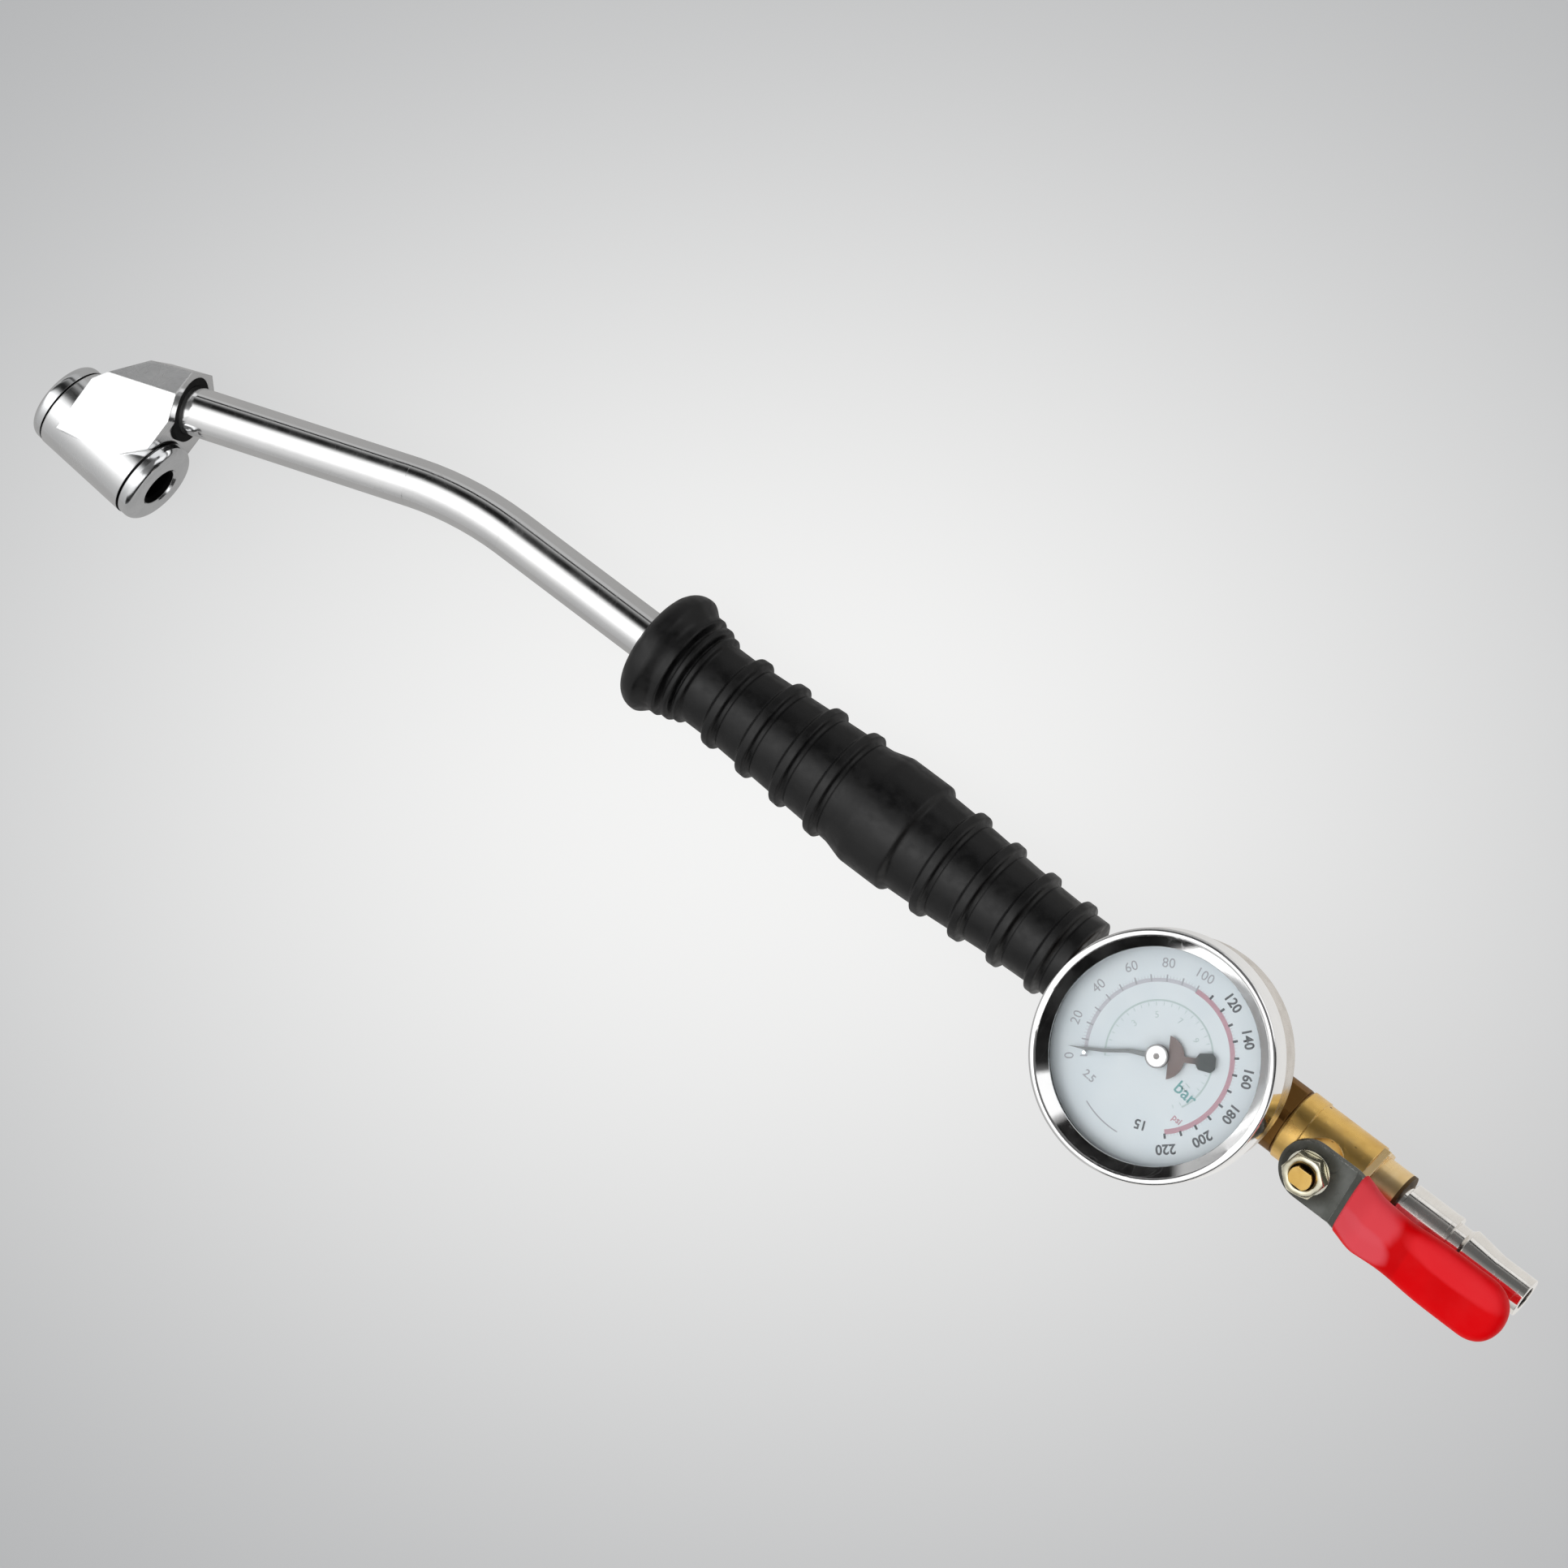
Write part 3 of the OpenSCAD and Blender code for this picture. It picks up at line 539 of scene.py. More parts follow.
class Effects:
    """Effects that several finishes share, each a node group that gives masks, values or normals."""

    def __init__(self) -> None:
        """Builds every group once."""
        self.grain = self._grain()
        self.wear = self._wear()
        self.marks = self._marks()
        self.scratches = self._scratches()
        self.dust = self._dust()
        self.cast = self._cast()

    def _grain(self) -> NodeTree:
        """Two sizes of fine unevenness: Height, and a slow Shade for colour and roughness."""
        tree, i, o = new_group(
            "fine_grain",
            {"Vector": ("Vector", 0.0), "Size": ("Float", 0.001)},
            {"Height": "Float", "Shade": "Float"},
        )
        scale = tree.math("DIVIDE", 1.0, i["Size"])
        fine = tree.noise(i["Vector"], scale, 4.0, 0.6)
        slow = tree.noise(i["Vector"], tree.math("MULTIPLY", scale, 0.13), 3.0, 0.55)
        return close_group(tree, o, {"Height": fine, "Shade": tree.ramp(slow, 0.3, 0.7)})

    def _wear(self) -> NodeTree:
        """Edges: a rounded Normal, and a Mask where it leaves the true normal, broken up by noise."""
        tree, i, o = new_group(
            "edge_wear",
            {"Vector": ("Vector", 0.0), "Radius": ("Float", 0.0003), "Break Up": ("Float", 900.0)},
            {"Mask": "Float", "Normal": "Vector"},
        )
        soft = tree.add("Bevel", {"Radius": i["Radius"]}, samples=4)
        true = tree.add("NewGeometry")
        dot = tree.measure("DOT_PRODUCT", soft.outputs[0], true.outputs["Normal"])
        edge = tree.ramp(tree.math("SUBTRACT", 1.0, dot), 0.01, 0.12)
        broken = tree.ramp(tree.noise(i["Vector"], i["Break Up"], 3.0, 0.6), 0.4, 0.62)
        return close_group(tree, o, {"Mask": tree.times(edge, broken), "Normal": soft.outputs[0]})

    def _marks(self) -> NodeTree:
        """Turning marks: rings along a coordinate, sin of distance over pitch, shaken by noise."""
        tree, i, o = new_group(
            "turning_marks",
            {"Along": ("Float", 0.0), "Vector": ("Vector", 0.0), "Pitch": ("Float", 0.0002)},
            {"Height": "Float", "Shade": "Float"},
        )
        turns = tree.math("DIVIDE", i["Along"], i["Pitch"])
        shake = tree.noise(i["Vector"], 260.0, 2.0)
        phase = tree.math("MULTIPLY_ADD", turns, math.tau, tree.math("MULTIPLY", shake, 3.0))
        wave = tree.math("SINE", phase)
        lines = tree.add("CombineXYZ", {0: turns})
        uneven = tree.noise(lines.outputs[0], 0.37, 3.0, 0.7)
        height = tree.times(tree.math("MULTIPLY_ADD", wave, 0.5, 0.5), uneven)
        return close_group(tree, o, {"Height": height, "Shade": tree.ramp(uneven, 0.35, 0.65)})

    def _scratches(self) -> NodeTree:
        """Hairline scratches: the thin mid-lines of stretched noise, in two directions."""
        tree, i, o = new_group(
            "hairlines",
            {"Vector": ("Vector", 0.0), "Scale": ("Float", 120.0)},
            {"Mask": "Float"},
        )
        found = []
        for turn, stretch in ((0.5, 0.06), (2.0, 0.05)):
            bent = tree.add(
                "Mapping",
                {"Vector": i["Vector"], "Rotation": (0.2, 0.1, turn), "Scale": (1.0, stretch, 1.0)},
            )
            line = tree.noise(bent.outputs[0], i["Scale"], 2.0, 0.4)
            away = tree.math("ABSOLUTE", tree.math("SUBTRACT", line, 0.5))
            found.append(tree.fade(away, 0.0, 0.006))
        return close_group(tree, o, {"Mask": tree.math("MAXIMUM", *found)})

    def _dust(self) -> NodeTree:
        """Settled dust: more on faces that look up, patchy, with a few specks."""
        tree, i, o = new_group(
            "dust_film",
            {"Vector": ("Vector", 0.0), "Amount": ("Float", 0.3)},
            {"Mask": "Float"},
        )
        up = tree.add("SeparateXYZ", {0: tree.add("NewGeometry").outputs["Normal"]}).outputs[2]
        patch = tree.ramp(tree.noise(i["Vector"], 90.0, 4.0, 0.6), 0.4, 0.75)
        speck = tree.ramp(tree.noise(i["Vector"], 2600.0, 1.0), 0.7, 0.78)
        film = tree.times(tree.ramp(up, -0.2, 1.0), tree.math("MAXIMUM", patch, speck), i["Amount"])
        return close_group(tree, o, {"Mask": film})

    def _cast(self) -> NodeTree:
        """Cast or forged skin: broad ripples as Height, with small pits as a Mask."""
        tree, i, o = new_group(
            "cast_skin",
            {"Vector": ("Vector", 0.0), "Size": ("Float", 0.004)},
            {"Height": "Float", "Pits": "Float"},
        )
        scale = tree.math("DIVIDE", 1.0, i["Size"])
        ripple = tree.noise(i["Vector"], scale, 3.0, 0.5)
        cells = tree.add("TexVoronoi", {"Vector": i["Vector"], "Scale": tree.math("MULTIPLY", scale, 1.6)})
        rare = tree.ramp(tree.noise(i["Vector"], tree.math("MULTIPLY", scale, 0.9), 0.0), 0.56, 0.62)
        pit = tree.math("MULTIPLY", tree.fade(cells.outputs["Distance"], 0.05, 0.14), rare)
        height = tree.math("SUBTRACT", ripple, tree.math("MULTIPLY", pit, 0.6))
        return close_group(tree, o, {"Height": height, "Pits": pit})


EFFECTS = Effects()


def coordinates(tree: Tree) -> Socket:
    """Object coordinates, in metres."""
    return tree.add("TexCoord").outputs["Object"]


def new_material(name: str) -> tuple[Material, Tree]:
    """An empty material and its tree."""
    made = bpy.data.materials.new(name)
    made.use_nodes = True
    return made, Tree(made.node_tree)


@dataclass(frozen=True)
class Band:
    """A stretch of another colour: between two heights along an axis and two distances from it, in metres.

    A limit at NO_LIMIT leaves that side open.
    """

    origin: Vector
    axis: Vector
    low: float = -NO_LIMIT
    high: float = NO_LIMIT
    inner: float = -NO_LIMIT
    outer: float = NO_LIMIT
    soft: float = 0.1 * MM
    colour: Colour = (0.012, 0.012, 0.012)
    rough: float = 0.3
    cover: float = 1.0

    def mask(self, tree: Tree, at: Socket) -> Socket:
        """How much of the band lies at a point, 0 to 1.

        Args:
            tree: The material's tree.
            at: Object coordinates.

        Returns:
            The mask.
        """
        moved = tree.vector("SUBTRACT", at, tuple(self.origin))
        along = tree.measure("DOT_PRODUCT", moved, tuple(self.axis))
        whole = tree.measure("DOT_PRODUCT", moved, moved)
        square = tree.math("SUBTRACT", whole, tree.math("MULTIPLY", along, along))
        away = tree.math("SQRT", tree.math("MAXIMUM", square, 0.0))
        mask: Any = self.cover
        for value, low, high in ((along, self.low, self.high), (away, self.inner, self.outer)):
            if low > -NO_LIMIT:
                mask = tree.times(mask, tree.ramp(value, low - self.soft, low + self.soft))
            if high < NO_LIMIT:
                mask = tree.times(mask, tree.fade(value, high - self.soft, high + self.soft))
        return mask


def skin_effects(tree: Tree, at: Socket, grain: float, edge: float, dust: float) -> tuple[Any, Any, Any]:
    """Places what every worn surface has.

    Args:
        tree: The material's tree.
        at: Object coordinates.
        grain: The grain's size.
        edge: The radius of its edges.
        dust: How much dust lies on it.

    Returns:
        The outputs of the grain, edge and dust groups.
    """
    return (
        tree.group(EFFECTS.grain, {"Vector": at, "Size": grain}),
        tree.group(EFFECTS.wear, {"Vector": at, "Radius": edge}),
        tree.group(EFFECTS.dust, {"Vector": at, "Amount": dust}),
    )


@dataclass(frozen=True)
class Metal:
    """A plated, machined or cast metal.

    Colours are linear. Heights and sizes are in metres.
    """

    name: str
    colour: Colour
    shade: Colour
    rough: float = 0.08
    rough_spread: float = 0.06
    grain: float = 0.0006
    grain_height: float = 0.000002
    cast_size: float = 0.004
    cast_height: float = 0.0
    pit: Colour = (0.03, 0.02, 0.01)
    edge: float = 0.00025
    worn: Colour = (0.9, 0.88, 0.84)
    wear: float = 0.5
    lay: Lay = Lay.NONE
    pitch: float = 0.00025
    mark_height: float = 0.0
    scratch: float = 0.12
    dust: float = 0.12
    dust_colour: Colour = (0.62, 0.6, 0.57)
    bands: tuple[Band, ...] = ()

    def material(self) -> Material:
        """Builds the material.

        Returns:
            A metal whose colour drifts with its grain, brighter on worn edges and duller under dust.
        """
        made, tree = new_material(self.name)
        at = coordinates(tree)
        grain, wear, dust = skin_effects(tree, at, self.grain, self.edge, self.dust)
        cast = tree.group(EFFECTS.cast, {"Vector": at, "Size": self.cast_size})
        lines = tree.group(EFFECTS.scratches, {"Vector": at, "Scale": 140.0})
        height = tree.math("MULTIPLY", grain["Height"], self.grain_height)
        if self.cast_height:
            height = tree.math("MULTIPLY_ADD", cast["Height"], self.cast_height, height)
        mark_shade: Any = 0.5
        if self.lay is not Lay.NONE:
            inputs = {"Along": self._along(tree, at), "Vector": at, "Pitch": self.pitch}
            marks = tree.group(EFFECTS.marks, inputs)
            height = tree.math("MULTIPLY_ADD", marks["Height"], self.mark_height, height)
            mark_shade = marks["Shade"]
        colour = tree.mix(tree.math("MULTIPLY", grain["Shade"], 0.6), self.colour, self.shade)
        colour = tree.mix(tree.math("MULTIPLY", mark_shade, 0.25), colour, self.shade)
        if self.cast_height:
            colour = tree.mix(cast["Pits"], colour, self.pit)
        colour = tree.mix(tree.math("MULTIPLY", wear["Mask"], self.wear), colour, self.worn)
        colour = tree.mix(dust["Mask"], colour, self.dust_colour)
        rough = tree.math("MULTIPLY_ADD", grain["Shade"], self.rough_spread, self.rough)
        for band in self.bands:
            mask = band.mask(tree, at)
            colour = tree.mix(mask, colour, band.colour)
            rough = tree.math("MULTIPLY_ADD", mask, band.rough, rough)
        rough = tree.math("MULTIPLY_ADD", lines["Mask"], self.scratch, rough)
        rough = tree.math("MULTIPLY_ADD", dust["Mask"], 0.5, rough)
        normal = tree.relief(height, wear["Normal"])
        metal = tree.math("MULTIPLY_ADD", dust["Mask"], -0.8, 1.0)
        tree.principled({"Base Color": colour, "Roughness": rough, "Metallic": metal, "Normal": normal})
        return made

    def _along(self, tree: Tree, at: Socket) -> Socket:
        """What the marks are cut along: x for rings, the distance from the plane y = 0 for rolled lines."""
        parts = tree.add("SeparateXYZ", {0: at}).outputs
        return parts[0] if self.lay is Lay.RINGS_X else tree.measure("LENGTH", parts[1])


@dataclass(frozen=True)
class Patch:
    """A soft-edged oval of another colour in the plane of some axes, its edge wandering with noise."""

    axes: Axes
    middle: tuple[float, float]
    reach: tuple[float, float]
    soft: float
    colour: Colour
    cover: float

    def mask(self, tree: Tree, at: Socket) -> Socket:
        """How much of the patch lies at a point, 0 to 1.

        Args:
            tree: The material's tree.
            at: Object coordinates.

        Returns:
            The mask.
        """
        moved = tree.vector("SUBTRACT", at, tuple(self.axes.origin))
        squares = []
        for way, middle_at, reach in zip((self.axes.x, self.axes.y), self.middle, self.reach):
            along = tree.math("SUBTRACT", tree.measure("DOT_PRODUCT", moved, tuple(way)), middle_at)
            share = tree.math("ABSOLUTE", tree.math("DIVIDE", along, reach))
            squares.append(tree.math("POWER", share, 2.6))
        wander = tree.math("MULTIPLY_ADD", tree.noise(at, 190.0, 2.0), 0.5, -0.25)
        away = tree.math("ADD", tree.math("ADD", *squares), wander)
        return tree.math("MULTIPLY", tree.fade(away, 1.0 - self.soft, 1.0 + self.soft), self.cover)


@dataclass(frozen=True)
class Moulded:
    """A rubber, vinyl or plastic. Heights and sizes are in metres."""

    name: str
    colour: Colour
    shade: Colour
    rough: float = 0.5
    rough_spread: float = 0.12
    grain: float = 0.0004
    grain_height: float = 0.00001
    ripple: float = 0.004
    ripple_height: float = 0.0
    edge: float = 0.0004
    worn: Colour = (0.2, 0.2, 0.2)
    wear: float = 0.3
    specular: float = 0.5
    dust: float = 0.25
    dust_colour: Colour = (0.5, 0.49, 0.47)
    subsurface: float = 0.0
    # Patches of painted highlight and painted shade laid over the colour.
    bloom: tuple[Patch, ...] = ()

    def material(self) -> Material:
        """Builds the material.

        Returns:
            A dielectric with moulding grain, rubbed edges and dust in patches.
        """
        made, tree = new_material(self.name)
        at = coordinates(tree)
        grain, wear, dust = skin_effects(tree, at, self.grain, self.edge, self.dust)
        height = tree.math("MULTIPLY", grain["Height"], self.grain_height)
        if self.ripple_height:
            ripple = tree.noise(at, 1.0 / self.ripple, 2.0, 0.5)
            height = tree.math("MULTIPLY_ADD", ripple, self.ripple_height, height)
        colour = tree.mix(grain["Shade"], self.colour, self.shade)
        colour = tree.mix(tree.math("MULTIPLY", wear["Mask"], self.wear), colour, self.worn)
        # Painted highlights and painted shade, in patches.
        for patch in self.bloom:
            colour = tree.mix(patch.mask(tree, at), colour, patch.colour)
        colour = tree.mix(dust["Mask"], colour, self.dust_colour)
        rough = tree.math("MULTIPLY_ADD", grain["Shade"], self.rough_spread, self.rough)
        rough = tree.math("MULTIPLY_ADD", dust["Mask"], 0.3, rough)
        tree.principled(
            {
                "Base Color": colour,
                "Roughness": rough,
                "Normal": tree.relief(height, wear["Normal"]),
                "Specular IOR Level": self.specular,
                "Subsurface Weight": self.subsurface,
                "Subsurface Scale": 0.001,
            }
        )
        return made


@dataclass(frozen=True)
class PrintInk:
    """Printing ink on the dial, slightly broken up as screen print is."""

    ink: Ink
    colour: Colour
    paper: Colour = (0.72, 0.76, 0.78)
    cover: float = 0.9

    def material(self) -> Material:
        """Builds the ink, the paper showing through where the print is thin."""
        made, tree = new_material(self.ink.value)
        at = coordinates(tree)
        thin = tree.ramp(tree.noise(at, 2200.0, 3.0, 0.6), 0.3, 0.7, self.cover, 1.0)
        colour = tree.mix(thin, self.paper, self.colour)
        rough = tree.ramp(tree.noise(at, 900.0, 2.0), 0.3, 0.7, 0.4, 0.55)
        tree.principled({"Base Color": colour, "Roughness": rough})
        return made


@dataclass(frozen=True)
class Lens:
    """The gauge's clear acrylic lens."""

    name: str = "lens"

    def material(self) -> Material:
        """Builds a thin clear sheet with faint smears in its gloss."""
        made, tree = new_material(self.name)
        at = coordinates(tree)
        smear = tree.ramp(tree.noise(at, 160.0, 4.0, 0.6), 0.45, 0.8, 0.0, 0.05)
        lines = tree.group(EFFECTS.scratches, {"Vector": at, "Scale": 90.0})
        rough = tree.math("MULTIPLY_ADD", lines["Mask"], 0.03, smear)
        shader = tree.add(
            "BsdfPrincipled",
            {
                "Base Color": (0.97, 0.99, 1.0, 1.0),
                "Metallic": 0.0,
                "Roughness": rough,
                "IOR": 1.25,
                "Transmission Weight": 1.0,
            },
        )
        clear = tree.add("BsdfTransparent", {0: (0.97, 0.985, 0.99, 1.0)})
        shadow = tree.add("LightPath").outputs["Is Shadow Ray"]
        both = tree.add("MixShader", {0: shadow, 1: shader.outputs[0], 2: clear.outputs[0]})
        tree.add("OutputMaterial", {0: both.outputs[0]})
        return made


# ---------------------------------------------------------------- sub-assemblies


def middle(node: str) -> Vector:
    """The middle of a CAD node's box."""
    low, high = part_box(node)
    return (low + high) / 2


@dataclass
class Chuck:
    """The double-ended chuck: a cast, chrome-plated barrel with a boss for the tube and two screwed caps."""

    groove: float = 14.0 * MM
    mouth: float = 5.25 * MM
    cast: Metal = Metal(
        "chrome_cast", (0.86, 0.865, 0.87), (0.80, 0.805, 0.81), rough=0.13, rough_spread=0.07, grain=0.0012,
        grain_height=0.000006, edge=0.0006, wear=0.1,
    )
    cap: Metal = Metal(
        "chrome_cap", (0.83, 0.84, 0.85), (0.72, 0.73, 0.74), rough=0.09, rough_spread=0.06, edge=0.0003,
    )
    rubber: Moulded = Moulded(
        "seal_rubber", (0.004, 0.004, 0.004), (0.008, 0.008, 0.008), rough=0.6, specular=0.15, wear=0.0,
        dust=0.0,
    )
    brass: Metal = Metal("pin_brass", (0.30, 0.20, 0.08), (0.2, 0.13, 0.05), rough=0.3)
    steel: Metal = Metal("spring_steel", (0.5, 0.5, 0.5), (0.4, 0.4, 0.4), rough=0.25)

    def dress(self) -> None:
        """Gives every node of the chuck its finish, with painted shade in the grooves and mouths."""
        near, far = middle("chuck_cap_near"), middle("chuck_cap_far")
        centre, axis = (near + far) / 2, (near - far).normalized()
        # Painted shade: a near-black band in each groove between the barrel and a cap.
        grooves = tuple(
            Band(centre, axis * side, self.groove - 0.05 * MM, self.groove + 0.6 * MM, inner=9.0 * MM)
            for side in (1, -1)
        )
        # Painted shade: near-black inside each cap's mouth, where the hole falls into shade.
        mouths = tuple(
            Band(centre, axis * side, low=8.0 * MM, outer=self.mouth, colour=(0.004, 0.004, 0.004), rough=0.6)
            for side in (1, -1)
        )
        dress(replace(self.cast, bands=grooves).material(), "chuck_body")
        dress(replace(self.cap, bands=grooves + mouths).material(), "chuck_cap_near", "chuck_cap_far")
        dress(self.rubber.material(), "chuck_seal_near", "chuck_seal_far", "tube_seal_ring")
        dress(self.brass.material(), "chuck_pin_near", "chuck_pin_far")
        dress(self.steel.material(), "chuck_spring")


@dataclass
class Tube:
    """The bent half-inch tube."""

    chrome: Metal = Metal(
        "chrome_tube", (0.88, 0.88, 0.88), (0.8, 0.8, 0.8), rough=0.06, rough_spread=0.04, grain=0.002,
        grain_height=0.000001, wear=0.0, scratch=0.1,
    )

    def dress(self) -> None:
        """Gives the tube its chrome."""
        dress(self.chrome.material(), "wand_tube")


@dataclass
class Grip:
    """The ribbed rubber grip, a moulded sleeve pulled over the tube.

    Stations are measured from the grip's front end, towards the plug.
    """

    bore: float = 6.45 * MM
    flange: float = 16.6 * MM
    neck: float = 11.2 * MM
    lip_round: float = 5.2 * MM
    lip_fall: tuple[float, float] = (5.6 * MM, 9.5 * MM)
    flange_end: tuple[float, float] = (11.2 * MM, 12.2 * MM)
    rings: tuple[tuple[float, float, float], ...] = (
        (13.8 * MM, 0.9 * MM, 2.3 * MM), (16.4 * MM, 0.8 * MM, 1.3 * MM),
    )
    stations: tuple[float, ...] = (
        0.0, 9.0, 24.0, 36.0, 58.0, 66.0, 71.3, 83.7, 84.5, 98.0, 113.0, 126.8, 134.8,
    )
    radii: tuple[float, ...] = (9.0, 11.2, 11.2, 11.9, 13.2, 13.8, 15.3, 15.3, 13.8, 13.2, 12.1, 11.6, 11.6)
    front_ribs: float = 26.4 * MM
    rear_ribs: float = 94.2 * MM
    rib_pitch: float = 11.4 * MM
    ribs: int = 4
    rib_width: float = 3.2 * MM
    rib_height: float = 1.5 * MM
    parting: float = 0.10 * MM
    rows: int = 560
    bore_rows: int = 24
    around: int = 96
    rubber: Moulded = Moulded(
        "grip_rubber", (0.0022, 0.0022, 0.0024), (0.0045, 0.0045, 0.0048), rough=0.33, rough_spread=0.16,
        grain=0.00035, grain_height=0.000012, ripple=0.009, ripple_height=0.00022, edge=0.0005,
        worn=(0.02, 0.02, 0.021), wear=0.25, specular=0.36, dust=0.03, dust_colour=(0.12, 0.117, 0.113),
    )

    def radius(self, s: Array) -> Array:
        """The outside radius at station s: the skin's smooth curve, plus flange, rings and ribs."""
        skin = np.interp(s, np.array(self.stations) * MM, np.array(self.radii) * MM)
        kernel = np.hanning(9)
        skin = np.convolve(np.pad(skin, 4, mode="edge"), kernel / kernel.sum(), mode="valid")
        lip = self.flange - self.neck
        arc = np.sqrt(np.clip(1.0 - ((s - self.lip_round) / self.lip_round) ** 2, 0.0, 1.0))
        share = np.where(s < self.lip_round, arc, 1.0 - 0.42 * smoothstep(*self.lip_fall, s))
        flange = (self.neck + lip * share) * (1.0 - smoothstep(*self.flange_end, s))
        radius = np.maximum(skin, flange)
        for centre, half, rise in self.rings:
            radius = radius + rise * bump(s, centre, half, 0.7 * MM)
        for first in (self.front_ribs, self.rear_ribs):
            for number in range(self.ribs):
                radius = radius + self._rib(s - first - number * self.rib_pitch)
        return radius

    def _rib(self, away: Array) -> Array:
        """One rib: a slow rise on the front side, a steep rear side and a shallow valley after it."""
        rise = smoothstep(-self.rib_width * 0.62, -self.rib_width * 0.2, away)
        fall = 1.0 - smoothstep(self.rib_width * 0.38, self.rib_width * 0.56, away)
        valley = bump(away, self.rib_width * 0.78, 0.25 * MM, 0.5 * MM)
        return self.rib_height * rise * fall - 0.28 * MM * valley

    def build(self) -> None:
        """Builds the sleeve.

        The closed profile (bore, front face, skin, rear face) is turned about the wand: radius(s) + parting,
        where parting is two 0.1 mm ridges at opposite sides, exp(-(side / width) ^ 2).
        """
        low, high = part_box("grip_sleeve")
        length = high.x - low.x
        s = np.linspace(0.0, length, self.rows)
        outer = self.radius(s)
        outer[0], outer[-1] = self.bore + 3.0 * MM, outer[-2] - 0.5 * MM
        bore_s = np.linspace(length, 0.0, self.bore_rows)
        along = np.concatenate([s, bore_s]) + low.x
        radius = np.concatenate([outer, np.full(self.bore_rows, self.bore)])
        side = np.abs(np.sin(full_turn(self.around) - 0.35))
        ridge = self.parting * np.exp(-((side / 0.05) ** 2))
        weight = np.concatenate([np.ones(self.rows), np.zeros(self.bore_rows)])
        axes = Axes(Vector((0, 0, 0)), X_AXIS, Y_AXIS, Z_AXIS)
        piece = revolve("grip_skin", axes, radius, along, weight[:, None] * ridge[None, :])
        add_to(piece, "wand", self.rubber.material(), "grip_rubber", "grip_sleeve")


